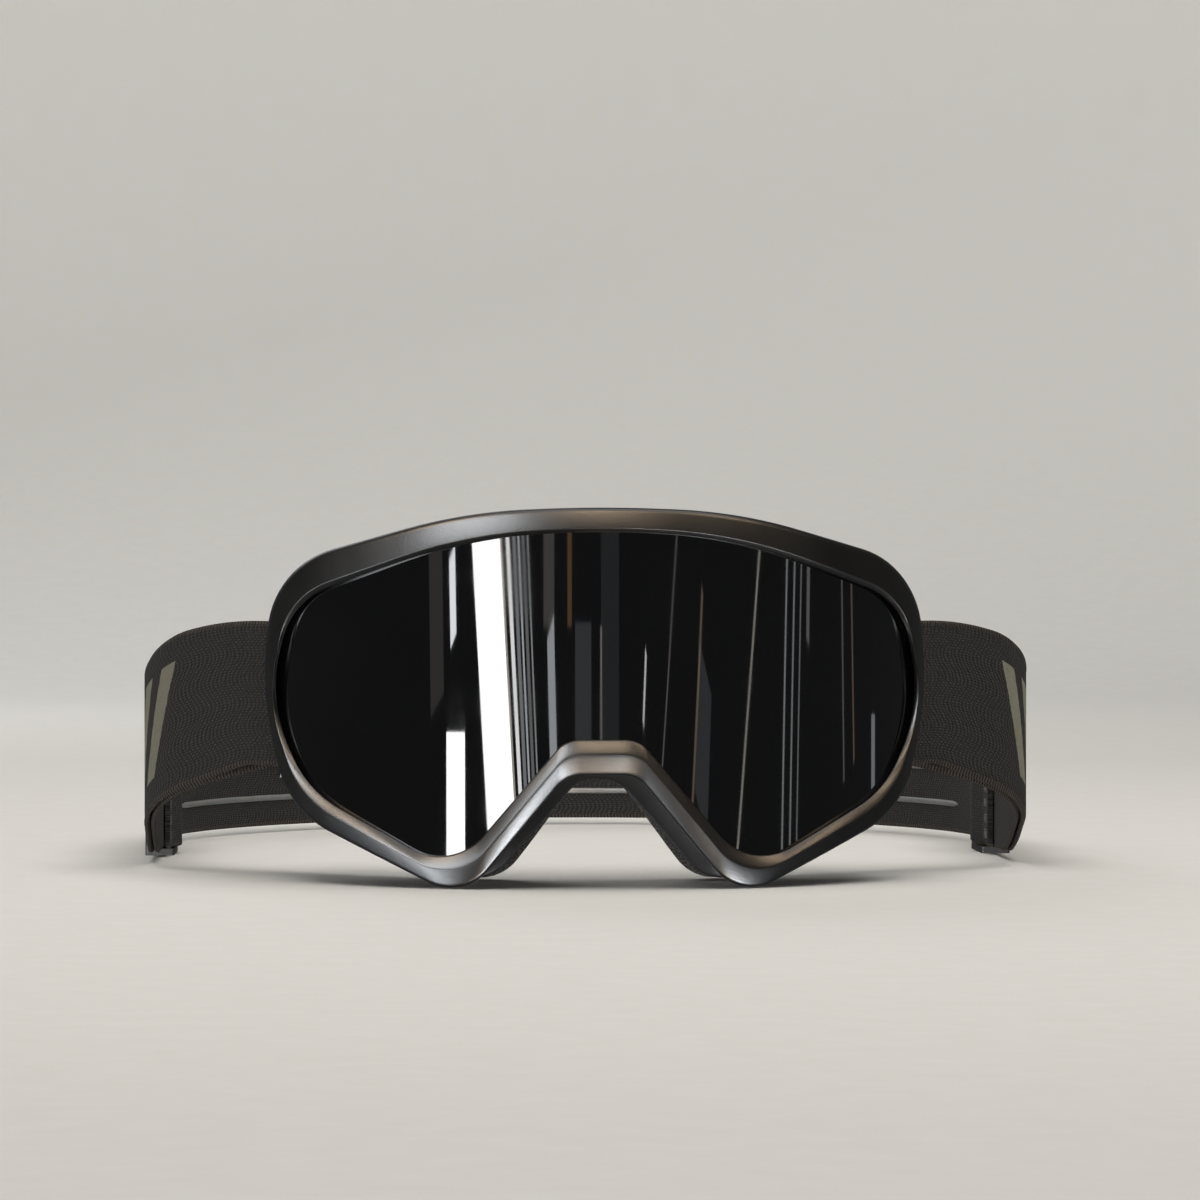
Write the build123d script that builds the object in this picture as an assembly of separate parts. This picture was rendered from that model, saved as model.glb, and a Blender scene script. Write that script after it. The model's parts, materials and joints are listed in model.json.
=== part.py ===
"""Riding goggles with a cylindrical lens, foam face pad and wide elastic head strap.

Millimetres, +Z up. The wearer looks along -Y, so the wearer's left is +X.
The origin is the middle of the underside: the goggles stand on the two cheek lobes of
the frame and on the two strap sliders.
"""

import os
from math import cos, hypot, radians, sin, tan

from build123d import *

os.makedirs("parts", exist_ok=True)

# Frame seen from the front.
frame_width = 181.0
frame_height = 102.4
# Corners of an outline, from the top middle down to the nose. Each is a share of half the
# frame width, a share of the frame height above the underside, and a radius as a share of it.
rim_corner_shares = [
    (0.000, 1.000, 4.00),
    (0.404, 0.987, 1.43),
    (0.980, 0.845, 0.244),
    (1.015, 0.506, 0.84),
    (0.934, 0.194, 0.254),
    (0.410, -0.028, 0.127),
    (0.084, 0.309, 0.142),
]
window_corner_shares = [
    (0.000, 0.936, 2.50),
    (0.395, 0.920, 1.39),
    (0.922, 0.752, 0.195),
    (0.996, 0.481, 0.400),
    (0.872, 0.249, 0.280),
    (0.443, 0.044, 0.156),
    (0.109, 0.394, 0.178),
]
face_corner_shares = [
    (0.000, 0.990, 2.50),
    (0.397, 0.976, 1.43),
    (0.880, 0.836, 0.244),
    (0.918, 0.504, 0.84),
    (0.850, 0.216, 0.254),
    (0.351, -0.023, 0.127),
    (0.058, 0.279, 0.098),
]

# Frame in depth. The bezel and lenses lie on upright cylinders about one axis, and the
# flange and face foam on cylinders about another.
bezel_radius = 117.0
bezel_depth = 8.4
bezel_front_lip = 2.6
rim_round = 2.2
window_round = 1.4
wall_setback = 1.5
wall_thickness = 2.2
shelf_overhang = 0.5
shelf_inset = 0.8
flange_distance = 30.0
flange_radius = 112.0
flange_width = 10.0
flange_thickness = 2.0

# Lenses in their groove.
outer_lens_thickness = 0.9
lens_spacer_thickness = 2.0
lens_spacer_width = 4.0
inner_lens_thickness = 0.6
lens_clearance = 0.15
bond_gap = 0.1
lens_lap = 1.35

# Face foam in three layers, and vent foam.
foam_base_thickness = 3.0
foam_middle_thickness = 8.0
foam_fleece_thickness = 2.5
foam_width = 12.0
foam_waist = 0.8
fleece_round = 0.9
vent_foam_thickness = 3.0
vent_foam_margin = 4.0

# Vents in the top and bottom walls.
vent_length = 24.0
vent_pitch = 32.0
vent_count = 3
vent_front_gap = 4.0
vent_depth = 12.0
lower_vent_middle = 59.0
lower_vent_height = 26.0

# Strap bar and the ears that carry it, one pair at each side of the frame.
bar_offset = 85.5
bar_depth = 58.8
bar_radius = 1.8
ear_thickness = 3.2
ear_front_depth = 47.0
ear_back_depth = 61.8
ear_root_offset = 76.0

# Strap.
strap_width = 40.0
strap_thickness = 1.5
strap_half_span = 126.2
strap_flare_angle = 50.0
strap_drop_angle = 25.0
strap_drop_start = 68.5
strap_bend_radius = 38.0
strap_edge_bend_radius = 30.0
strap_layer_gap = 0.4
overall_depth = 325.0

# Sliders. The gap is from a slider's middle to where the rear stretch starts.
slider_back_gap = 24.55
slider_length = 26.0
slider_bar_width = 3.4
slider_bar_thickness = 2.2
slider_pin_radius = 1.2
slider_rail = 2.0
slider_round = 0.8
moving_clearance = 0.3

# Sewn tail of the strap and its stitches.
tail_length = 22.0
tail_blend = 7.0
stitch_rows = 3
stitch_pitch = 3.6
stitch_height = 3.0
stitch_gap = 1.6
stitch_width = 0.8
stitch_thickness = 0.4

# Silicone lines inside the strap.
grip_width = 1.8
grip_thickness = 0.6
grip_pitch = 11.0
grip_end_angle = 14.0

# One overrun serves every cut. An edge is told from its neighbours at these shares of it.
overrun = 1.0
probe_shares = (0.3, 0.7)
middle_share = 0.5

# Two roundings on one side of an outline stop short of each other by the rest of this share.
rounding_room_share = 0.99

# Places worked out from the sizes above.
half_width = frame_width / 2
frame_middle = frame_height / 2
front = -overall_depth / 2
bezel_axis = front + bezel_radius
face_axis = front + flange_distance + flange_radius
bezel_back_radius = bezel_radius - bezel_depth
outer_lens_radius = bezel_radius - bezel_front_lip - lens_clearance
spacer_radius = outer_lens_radius - outer_lens_thickness - bond_gap
inner_lens_radius = spacer_radius - lens_spacer_thickness - bond_gap
groove_back_radius = inner_lens_radius - inner_lens_thickness - lens_clearance
flange_back_radius = flange_radius - flange_thickness
foam_base_radius = flange_back_radius - bond_gap
foam_middle_radius = foam_base_radius - foam_base_thickness - bond_gap
foam_fleece_radius = foam_middle_radius - foam_middle_thickness - bond_gap
slider_half_height = strap_width / 2 + moving_clearance + slider_rail
strap_back_height = slider_half_height
bar_y = front + bar_depth
loop_radius = bar_radius + moving_clearance + strap_thickness / 2
layer_step = strap_thickness + strap_layer_gap
ear_gap = strap_width / 2 + moving_clearance


def fitted_radii(corners, radii):
    """The corner radii, drawn in where two roundings would meet on the side between them."""
    reaches = []
    for index, corner in enumerate(corners):
        before = corner - corners[index - 1]
        after = corners[(index + 1) % len(corners)] - corner
        reaches.append(radii[index] * tan(radians(before.get_angle(after)) / 2))
    fitted = []
    for index, corner in enumerate(corners):
        share = 1
        for beside in (index - 1, (index + 1) % len(corners)):
            side = (corners[beside] - corner).length
            reach = reaches[index] + reaches[beside]
            if reach > side:
                share = min(share, side / reach * rounding_room_share)
        fitted.append(radii[index] * share)
    return fitted


def outline(corner_shares, grow=0.0):
    """A closed outline seen from the front, the same on both sides, grown all round."""
    right = [Vector(x * half_width, z * frame_height) for x, z, _ in corner_shares]
    left = [Vector(-corner.X, corner.Y) for corner in reversed(right[1:])]
    corners = right + left
    radii = [r * frame_height for _, _, r in corner_shares]
    radii += list(reversed(radii[1:]))
    grown = []
    for index, corner in enumerate(corners):
        before = corner - corners[index - 1]
        after = corners[(index + 1) % len(corners)] - corner
        turn = before.X * after.Y - before.Y * after.X
        out_before = Vector(-before.Y, before.X).normalized()
        out_after = Vector(-after.Y, after.X).normalized()
        step = (out_before + out_after) * (grow / (1 + out_before.dot(out_after)))
        grown.append(corner + step)
        radii[index] = max(radii[index] + (grow if turn < 0 else -grow), 0)
    radii = fitted_radii(grown, radii)
    points = [tuple(corner)[:2] for corner in grown]
    return make_face(FilletPolyline(*points, radius=radii, close=True))


def prism(face, start, end):
    """A front-view face drawn out between two places along Y."""
    return extrude(Plane.XZ.offset(-start) * face, amount=end - start, dir=(0, 1, 0))


def drum(axis_y, radius):
    """The solid behind an upright cylindrical surface."""
    height = 2 * frame_height
    return Pos(0, axis_y, frame_middle) * Cylinder(radius, height)


def shell(face, axis_y, outer_radius, inner_radius):
    """The part of a front-view face that lies between two cylinders, on their front half."""
    body = prism(face, front - overrun, axis_y)
    return body & drum(axis_y, outer_radius) - drum(axis_y, inner_radius)


rim = outline(rim_corner_shares)
window = outline(window_corner_shares)
face_edge = outline(face_corner_shares)
lens_outline = outline(window_corner_shares, lens_lap)
groove_outline = outline(window_corner_shares, lens_lap + lens_clearance)
rim_inset = outline(rim_corner_shares, -shelf_inset)


def wall_edge(inset):
    """The side wall's outline, which keeps inside both the bezel and the face flange."""
    inset += wall_setback
    return outline(rim_corner_shares, -inset) & outline(face_corner_shares, -inset)


def on_front(edge):
    """Whether an edge of the bezel lies in its front surface."""
    places = [edge @ share for share in probe_shares]
    return all(abs(hypot(p.X, p.Y - bezel_axis) - bezel_radius) < lens_clearance for p in places)


def bezel():
    """The front ring, rounded to a soft ridge between the lens and the outside."""
    ring = shell(rim - window, bezel_axis, bezel_radius, bezel_back_radius)
    reach = prism(outline(window_corner_shares, lens_clearance), front - overrun, bezel_axis)
    front_edges = [edge for edge in ring.edges() if on_front(edge)]
    inside = [edge for edge in front_edges if reach.is_inside(edge @ middle_share)]
    outside = [edge for edge in front_edges if not reach.is_inside(edge @ middle_share)]
    narrowest = rim.wires()[0].distance_to(window.wires()[0])
    return ring.fillet(rim_round, outside).fillet(min(window_round, narrowest / 2), inside)


def lens_groove():
    """The space behind the bezel's lip that the lenses lie in."""
    lip_radius = bezel_radius - bezel_front_lip
    return shell(groove_outline, bezel_axis, lip_radius, groove_back_radius)


def shelf():
    """The ledge behind the lenses, which reaches inwards to the side wall."""
    ledge = rim_inset - (outline(window_corner_shares, shelf_overhang) & wall_edge(wall_thickness))
    return shell(ledge, bezel_axis, groove_back_radius, bezel_back_radius)


def side_wall():
    """The wall between the bezel and the face flange."""
    ring = wall_edge(0) - wall_edge(wall_thickness)
    wall = prism(ring, front, face_axis) & drum(bezel_axis, groove_back_radius)
    return wall - drum(face_axis, flange_back_radius)


def vents():
    """Cutters for the slots through the top wall and the two cheek walls."""
    outer_radius = bezel_back_radius - vent_front_gap
    band = drum(bezel_axis, outer_radius) - drum(bezel_axis, outer_radius - vent_depth)
    places = [
        ((index - (vent_count - 1) / 2) * vent_pitch, frame_height) for index in range(vent_count)
    ]
    places += [(side * lower_vent_middle, lower_vent_height / 2) for side in (-1, 1)]
    cutters = []
    for x, z in places:
        height = lower_vent_height
        block = Pos(x, bezel_axis - bezel_radius / 2, z) * Box(vent_length, bezel_radius, height)
        cutters.append(block & band)
    return cutters


def face_flange():
    """The rim that the face foam is bonded to."""
    ring = face_edge - outline(face_corner_shares, -flange_width)
    return shell(ring, face_axis, flange_radius, flange_back_radius)


def strap_ears():
    """The two ears and the upright bar that the strap loops round, on the wearer's left."""
    depth = ear_back_depth - ear_front_depth
    reach = bar_offset + bar_radius - ear_root_offset
    middle_x = ear_root_offset + reach / 2
    middle_y = front + (ear_front_depth + ear_back_depth) / 2
    keep = prism(wall_keep(), front, face_axis) & drum(bezel_axis, groove_back_radius)
    height = 2 * ear_gap + ear_thickness
    pair = Pos(bar_offset, bar_y, frame_middle) * Cylinder(bar_radius, height)
    for side in (-1, 1):
        z = frame_middle + side * (ear_gap + ear_thickness / 2)
        ear = Pos(middle_x, middle_y, z) * Box(reach, depth, ear_thickness)
        pair += ear & keep
    return pair


def wall_keep():
    """Everything in the front view outside the inner face of the side wall."""
    sheet = Pos(0, frame_middle) * Rectangle(2 * frame_width, 2 * frame_height)
    return sheet - wall_edge(wall_thickness)


def make_frame():
    """The moulded frame in one piece."""
    body = bezel() + shelf() + side_wall() + face_flange()
    ears = strap_ears()
    body = body + ears + mirror(ears, about=Plane.YZ)
    body = body - lens_groove()
    for cutter in vents():
        body = body - cutter
    return body


def make_lenses():
    """Two lens panes with a spacer ring between their edges."""
    outer = shell(
        lens_outline, bezel_axis, outer_lens_radius, outer_lens_radius - outer_lens_thickness
    )
    spacer_hole = outline(window_corner_shares, lens_lap - lens_spacer_width)
    spacer = shell(
        lens_outline - spacer_hole,
        bezel_axis,
        spacer_radius,
        spacer_radius - lens_spacer_thickness,
    )
    inner = shell(
        lens_outline, bezel_axis, inner_lens_radius, inner_lens_radius - inner_lens_thickness
    )
    return outer, spacer, inner


def foam_ring(radius, thickness, waist):
    """One layer of the face foam, drawn in at its edges by the waist."""
    ring = outline(face_corner_shares, -waist) - outline(face_corner_shares, waist - foam_width)
    return shell(ring, face_axis, radius, radius - thickness)


def make_fleece():
    """The soft layer that meets the face, with its edges crowned."""
    layer = foam_ring(foam_fleece_radius, foam_fleece_thickness, 0)
    back_radius = foam_fleece_radius - foam_fleece_thickness
    back_edges = []
    for edge in layer.edges():
        places = [edge @ share for share in probe_shares]
        if all(abs(hypot(p.X, p.Y - face_axis) - back_radius) < bond_gap for p in places):
            back_edges.append(edge)
    return layer.fillet(fleece_round, back_edges)


def make_vent_foams():
    """Strips of open foam that lie inside the walls, over the vents."""
    outer_edge = wall_edge(wall_thickness + bond_gap)
    ring = outer_edge - wall_edge(wall_thickness + bond_gap + vent_foam_thickness)
    radius = bezel_back_radius - bond_gap
    depth = vent_front_gap + vent_depth + vent_foam_margin
    strip = shell(ring, bezel_axis, radius, radius - depth)
    strip = strip - drum(face_axis, flange_radius + bond_gap)
    top_length = vent_pitch * (vent_count - 1) + vent_length + 2 * vent_foam_margin
    side_length = vent_length + 2 * vent_foam_margin
    y = bezel_axis - bezel_radius / 2
    top = strip & Pos(0, y, frame_height) * Box(top_length, bezel_radius, lower_vent_height)
    lower = Box(side_length, bezel_radius, lower_vent_height)
    left = strip & Pos(lower_vent_middle, y, lower_vent_height / 2) * lower
    return top, left


def turn(angle):
    """The unit vector at an angle in plan, counted from +X towards +Y."""
    return Vector(cos(radians(angle)), sin(radians(angle)))


# The strap in plan on the wearer's left: out from the bar, round the bend, straight back,
# then round behind the head in half a circle.
flare = turn(90 - strap_flare_angle)
flare_side = turn(-strap_flare_angle)
bar = Vector(bar_offset, bar_y)
flare_start = bar + flare_side * loop_radius
bend_middle_x = strap_half_span - strap_bend_radius
flare_length = (bend_middle_x + strap_bend_radius * flare_side.X - flare_start.X) / flare.X
bend_start = flare_start + flare * flare_length
bend_middle = bend_start - flare_side * strap_bend_radius
bend_end = Vector(strap_half_span, bend_middle.Y)
back_middle = Vector(0, overall_depth / 2 - strap_thickness / 2 - strap_half_span)
back_start = Vector(strap_half_span, back_middle.Y)


def ribbon(lines, thickness=strap_thickness):
    """A plan line given its thickness and drawn up past the strap's whole height."""
    return extrude(trace(lines, thickness), amount=2 * frame_height, both=True)


def strap_height_band():
    """The strap's width seen from the side: level, then down, then level round the back."""
    drop = frame_middle - strap_back_height
    run = drop / tan(radians(strap_drop_angle))
    start = front + strap_drop_start
    points = [
        (front - overrun, frame_middle),
        (start, frame_middle),
        (start + run, strap_back_height),
        (overall_depth / 2 + overrun, strap_back_height),
    ]
    middle_line = FilletPolyline(*points, radius=strap_edge_bend_radius)
    side_view = Plane.YZ * trace(middle_line, strap_width)
    return extrude(side_view, amount=frame_width, both=True)


def bar_loop(middle, radius, direction):
    """Half a turn of strap round a bar, open towards a direction in plan."""
    start_angle = 90 + direction
    return CenterArc((middle.X, middle.Y), radius, start_angle, 180)


def make_strap_side():
    """The outer layer, from the bar on the frame to the rear stretch, on the wearer's left."""
    flare_line = Line(flare_start, bend_start)
    bend = CenterArc(bend_middle, strap_bend_radius, -strap_flare_angle, strap_flare_angle)
    straight = Line(bend_end, back_start)
    loop = bar_loop(bar, loop_radius, 90 - strap_flare_angle)
    return ribbon(Curve() + [loop, flare_line, bend, straight]) & strap_height_band()


def make_strap_back():
    """The rear stretch of the strap, behind the head."""
    arc = CenterArc(back_middle, strap_half_span, 0, 180)
    return ribbon(Curve() + [arc]) & strap_height_band()


# The slider sits on the straight stretch. Its own places are counted out from the strap's
# middle line and along it.
slider_middle = Vector(strap_half_span, back_start.Y - slider_back_gap)
pin_offset = -(layer_step + strap_thickness / 2 + moving_clearance + slider_pin_radius)
tail_loop_radius = -pin_offset - layer_step
tail_offset = -2 * layer_step


def beside_slider(out, along):
    """A place near the slider, in plan."""
    return slider_middle + Vector(out, along)


def make_strap_return():
    """The inner layer, from the bar back to the slider, round its pin, and its sewn tail."""
    start = bar - flare_side * loop_radius
    inner_bend = strap_bend_radius - layer_step
    bend_share = inner_bend / cos(radians(strap_flare_angle) / 2)
    corner = bend_middle + turn(-strap_flare_angle / 2) * bend_share
    lead = flare * (2 * loop_radius)
    front_run = FilletPolyline(
        start,
        start + lead,
        bend_start - flare_side * layer_step - lead,
        corner,
        beside_slider(-layer_step, 0),
        radius=[strap_bend_radius / 2, strap_bend_radius / 2, inner_bend],
    )
    pin_loop = CenterArc(beside_slider(pin_offset, 0), tail_loop_radius, 0, 180)
    far_side = pin_offset - tail_loop_radius
    tail = FilletPolyline(
        beside_slider(far_side, 0),
        beside_slider(far_side, -tail_blend / 2),
        beside_slider(tail_offset, -tail_blend * 3 / 2),
        beside_slider(tail_offset, -tail_length),
        radius=tail_blend / 2,
    )
    return ribbon(Curve() + [front_run, pin_loop, tail]) & strap_height_band()


def make_slider():
    """The ladder slider: two rails, two outer bars and the pin that holds the tail."""
    outer_face = strap_thickness / 2 + moving_clearance + slider_bar_thickness
    inner_face = pin_offset - slider_pin_radius
    rail_depth = outer_face - inner_face
    rail_x = (outer_face + inner_face) / 2
    bar_x = outer_face - slider_bar_thickness / 2
    bar_step = (slider_length - slider_bar_width) / 2
    height = 2 * slider_half_height
    body = Pos(pin_offset, 0, 0) * Cylinder(slider_pin_radius, height)
    for side in (-1, 1):
        rail = Box(rail_depth, slider_length, slider_rail)
        rail = fillet(rail.edges().filter_by(Axis.Z), slider_round)
        body += Pos(rail_x, 0, side * (slider_half_height - slider_rail / 2)) * rail
        upright = Box(slider_bar_thickness, slider_bar_width, height)
        upright = fillet(upright.edges().filter_by(Axis.Z), slider_round)
        body += Pos(bar_x, side * bar_step, 0) * upright
    return Pos(slider_middle.X, slider_middle.Y, strap_back_height) * body


def make_stitches():
    """Bar stitches across the sewn tail, raised on its inner side."""
    out = tail_offset - strap_thickness / 2 - stitch_thickness / 2
    count = int((strap_width - stitch_gap) // (stitch_height + stitch_gap))
    pitch = stitch_height + stitch_gap
    stitches = []
    for row in range(stitch_rows):
        along = -(tail_length - stitch_pitch) + row * stitch_pitch / 2
        for index in range(count):
            z = (index - (count - 1) / 2) * pitch
            stitch = Box(stitch_thickness, stitch_width, stitch_height)
            place = beside_slider(out, along)
            stitches.append(Pos(place.X, place.Y, strap_back_height + z) * stitch)
    return stitches


def make_grips():
    """Three silicone lines on the inner side of the rear stretch, lowest first."""
    lines = []
    outer_radius = strap_half_span - strap_thickness / 2
    sweep = 180 - 2 * grip_end_angle
    arc = CenterArc(back_middle, outer_radius - grip_thickness / 2, grip_end_angle, sweep)
    for step in (-1, 0, 1):
        z = strap_back_height + step * grip_pitch
        line = extrude(trace(arc, grip_thickness), amount=grip_width / 2, both=True)
        lines.append(Pos(0, 0, z) * line)
    return lines


def save(name, shape):
    """Write one node, of one solid or of several."""
    pieces = shape if isinstance(shape, list) else [shape]
    solids = [solid for piece in pieces for solid in piece.solids()]
    whole = solids[0] if len(solids) == 1 else Compound(children=solids)
    export_step(whole, f"parts/{name}.step")
    print(name, len(solids), "solids,", round(sum(solid.volume for solid in solids), 1), "mm3")


def save_pair(name, left):
    """Write a node and its mirror image on the wearer's right."""
    pieces = left if isinstance(left, list) else [left]
    save(f"{name}_left", pieces)
    save(f"{name}_right", [mirror(piece, about=Plane.YZ) for piece in pieces])


def main():
    """Make and write every piece."""
    save("frame", make_frame())
    for name, lens in zip(("outer_lens", "lens_spacer", "inner_lens"), make_lenses()):
        save(name, lens)
    save("foam_base", foam_ring(foam_base_radius, foam_base_thickness, 0))
    save("foam_middle", foam_ring(foam_middle_radius, foam_middle_thickness, foam_waist))
    save("foam_fleece", make_fleece())
    top_foam, lower_foam = make_vent_foams()
    save("top_vent_foam", top_foam)
    save_pair("lower_vent_foam", lower_foam)
    save_pair("strap_side", make_strap_side())
    save_pair("strap_return", make_strap_return())
    save("strap_back", make_strap_back())
    save_pair("slider", make_slider())
    save_pair("tail_stitches", make_stitches())
    for name, line in zip(("lower", "middle", "upper"), make_grips()):
        save(f"strap_grip_{name}", line)


main()
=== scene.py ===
# %% [markdown]
# Riding goggles, dressed for a picture.
#
# The part is a one-piece riding goggle: a dark lens bent one way only, a soft black moulding
# round it, a fuzzy foam pad behind, and a wide knitted elastic strap that stands open as if it
# were still worn. The engineering model gives every piece its size and its place, so this file
# starts by loading it. Each cell after that makes one visible piece in the same place and hides
# the solid it stands for.

# %% Load the imported model
import json
import math

import bmesh
import bpy
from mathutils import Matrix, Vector, noise

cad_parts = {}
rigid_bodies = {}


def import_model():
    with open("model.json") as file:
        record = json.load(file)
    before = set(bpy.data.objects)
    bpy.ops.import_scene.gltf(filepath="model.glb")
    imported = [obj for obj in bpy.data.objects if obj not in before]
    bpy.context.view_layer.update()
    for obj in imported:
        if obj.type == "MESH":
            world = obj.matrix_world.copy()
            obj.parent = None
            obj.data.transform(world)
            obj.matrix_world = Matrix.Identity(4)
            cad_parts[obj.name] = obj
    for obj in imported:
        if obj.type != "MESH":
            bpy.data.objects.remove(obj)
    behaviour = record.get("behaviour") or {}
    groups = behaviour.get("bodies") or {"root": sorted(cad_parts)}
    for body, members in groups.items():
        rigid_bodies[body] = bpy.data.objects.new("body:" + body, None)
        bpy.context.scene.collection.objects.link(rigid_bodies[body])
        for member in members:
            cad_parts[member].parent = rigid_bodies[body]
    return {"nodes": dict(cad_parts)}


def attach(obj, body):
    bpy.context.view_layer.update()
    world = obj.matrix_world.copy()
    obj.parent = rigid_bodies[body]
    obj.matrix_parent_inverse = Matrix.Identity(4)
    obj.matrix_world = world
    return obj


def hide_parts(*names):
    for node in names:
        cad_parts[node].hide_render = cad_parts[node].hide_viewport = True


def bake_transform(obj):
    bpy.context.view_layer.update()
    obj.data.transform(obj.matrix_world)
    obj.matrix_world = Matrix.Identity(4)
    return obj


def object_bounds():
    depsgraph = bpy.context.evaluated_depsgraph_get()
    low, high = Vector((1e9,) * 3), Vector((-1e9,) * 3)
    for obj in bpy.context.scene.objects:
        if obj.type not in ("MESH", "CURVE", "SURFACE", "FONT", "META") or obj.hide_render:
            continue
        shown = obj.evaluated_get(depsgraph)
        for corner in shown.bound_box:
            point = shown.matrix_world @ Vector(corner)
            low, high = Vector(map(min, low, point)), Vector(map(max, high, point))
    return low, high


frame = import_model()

cad_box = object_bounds()
print("solid model, lowest and highest corner:", [tuple(round(c, 4) for c in p) for p in cad_box])

# %% [markdown]
# The moulding is drawn from the front by three outlines: its own rim, the window that the lens
# shows through, and the edge of the face pad. An outline could be traced point by point, but
# seven corners and a rounding at each say the same in a few numbers that are easy to change. The
# corners run from the top middle over the wearer's left down to the nose, and the other half is
# its mirror image.

# %% Driving sizes of the moulding
mm = 0.001
frame_width = 181.0 * mm
frame_height = 102.4 * mm
frame_middle = frame_height / 2
front = cad_box[0].y

# Across as a share of half the width, up as a share of the height, rounding as a share of it.
rim_shares = [
    (0.000, 1.000, 4.00),
    (0.404, 0.987, 1.43),
    (0.980, 0.845, 0.244),
    (1.015, 0.506, 0.84),
    (0.934, 0.194, 0.254),
    (0.410, -0.028, 0.127),
    (0.104, 0.300, 0.085),
]
window_shares = [
    (0.000, 0.936, 2.50),
    (0.395, 0.920, 1.39),
    (0.922, 0.752, 0.195),
    (0.996, 0.481, 0.400),
    (0.872, 0.249, 0.280),
    (0.443, 0.044, 0.156),
    (0.109, 0.392, 0.082),
]
face_shares = [
    (0.000, 0.990, 2.50),
    (0.397, 0.976, 1.43),
    (0.880, 0.836, 0.244),
    (0.918, 0.504, 0.84),
    (0.850, 0.216, 0.254),
    (0.351, -0.023, 0.127),
    (0.058, 0.279, 0.098),
]
arc_steps = 14
side_steps = 5
smallest_radius = 0.05 * mm

# %% [markdown]
# Each corner is rounded by an arc. An outline can also grow or shrink: its corners move out
# along both of their sides and the radii follow, which keeps a wall even all the way round.
# Every outline gets the same number of points at matching places, so two of them can later be
# joined face by face.

# %% Round off an outline
def turned(vector, angle):
    """A flat vector turned anticlockwise."""
    c, s = math.cos(angle), math.sin(angle)
    return Vector((vector.x * c - vector.y * s, vector.x * s + vector.y * c))


def sideways(vector):
    """A flat vector turned anticlockwise by a quarter."""
    return Vector((-vector.y, vector.x))


def directions(before, corner, after):
    """The way into a corner, the way out of it, and the angle turned there."""
    into, onward = (corner - before).normalized(), (after - corner).normalized()
    return into, onward, math.atan2(into.x * onward.y - into.y * onward.x, into.dot(onward))


def corner_arc(corner, into, turn, radius, count):
    """The arc that rounds a corner, in count steps."""
    start = corner - into * (radius * math.tan(abs(turn) / 2))
    centre = start + sideways(into) * math.copysign(radius, turn)
    return [centre + turned(start - centre, turn * k / count) for k in range(count + 1)]


def outline(shares, grow=0.0):
    """Points round a rounded outline."""
    half = [(Vector((x * frame_width / 2, z * frame_height)), r) for x, z, r in shares]
    corners = half + [(Vector((-p.x, p.y)), r) for p, r in reversed(half[1:])]
    count = len(corners)
    moved, turns, radii = [], [], []
    for i, (corner, rounding) in enumerate(corners):
        into, onward, turn = directions(corners[i - 1][0], corner, corners[(i + 1) % count][0])
        out = sideways(into) + sideways(onward)
        moved.append(corner + out * (grow / (1 + into.dot(onward))))
        turns.append(turn)
        radius = rounding * frame_height + (grow if turn < 0 else -grow)
        radii.append(max(radius, smallest_radius))
    arcs = []
    for i in range(count):
        into = (moved[i] - moved[i - 1]).normalized()
        arcs.append(corner_arc(moved[i], into, turns[i], radii[i], arc_steps))
    points = []
    for i in range(count):
        end, onward = arcs[i][-1], arcs[(i + 1) % count][0]
        points += arcs[i] + [end.lerp(onward, k / side_steps) for k in range(1, side_steps)]
    return points


rim, window, face_edge = outline(rim_shares), outline(window_shares), outline(face_shares)
print("stations round each outline:", len(rim), len(window), len(face_edge))
print("rim width, mm:", round(2 * max(p.x for p in rim) / mm, 1))

# %% [markdown]
# Seen from above, the bezel and the lens follow one upright cylinder, and the face side follows
# another. So a point of a front view needs no third number: its depth comes from the circle.

# %% From a front view to a bent surface
bezel_radius = 117.0 * mm
flange_radius = 112.0 * mm
flange_distance = 30.0 * mm
bezel_axis = front + bezel_radius
face_axis = front + flange_distance + flange_radius


def depth_at(x, axis, radius):
    """How far back the front of an upright cylinder lies at a place across."""
    return axis - math.sqrt(radius**2 - x**2)


def bent(points, axis, radius):
    """Front-view points laid on the front of an upright cylinder."""
    return [Vector((p.x, depth_at(p.x, axis, radius), p.y)) for p in points]


def between(first, second, share):
    """Points part of the way from one outline to another, by one share or one for each."""
    shares = share if isinstance(share, list) else [share] * len(first)
    return [a.lerp(b, s) for a, b, s in zip(first, second, shares)]


print("bezel's front at the rim's widest, mm behind the middle:",
      round((depth_at(frame_width / 2, bezel_axis, bezel_radius) - front) / mm, 1))

# %% [markdown]
# Each ring-shaped piece is a row of loops, one outline at one depth each, with faces between
# neighbouring loops. A curve with a bevel could make such a ring too, but it would keep one
# section all the way, where the real moulding is wide at the top and narrow at the sides. The
# same faces serve an open row of rings, such as a strap, which then gets flat ends.

# %% From points to an object
def shaded(obj, sharp_angle):
    """Smooth shading that keeps every edge sharper than the angle, in degrees."""
    obj.data.shade_smooth()
    obj.data.set_sharp_from_angle(angle=math.radians(sharp_angle))
    return obj


def added(name, mesh, work):
    """A new object from a mesh and the bmesh worked out for it."""
    work.to_mesh(mesh)
    work.free()
    obj = bpy.data.objects.new(name, mesh)
    bpy.context.scene.collection.objects.link(obj)
    return obj


def mesh_piece(name, points, faces, sharp_angle=40):
    """A new object from points and faces, with its faces turned outwards."""
    mesh = bpy.data.meshes.new(name)
    mesh.from_pydata([tuple(p) for p in points], [], faces)
    work = bmesh.new()
    work.from_mesh(mesh)
    bmesh.ops.recalc_face_normals(work, faces=work.faces)
    return shaded(added(name, mesh, work), sharp_angle)


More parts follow.
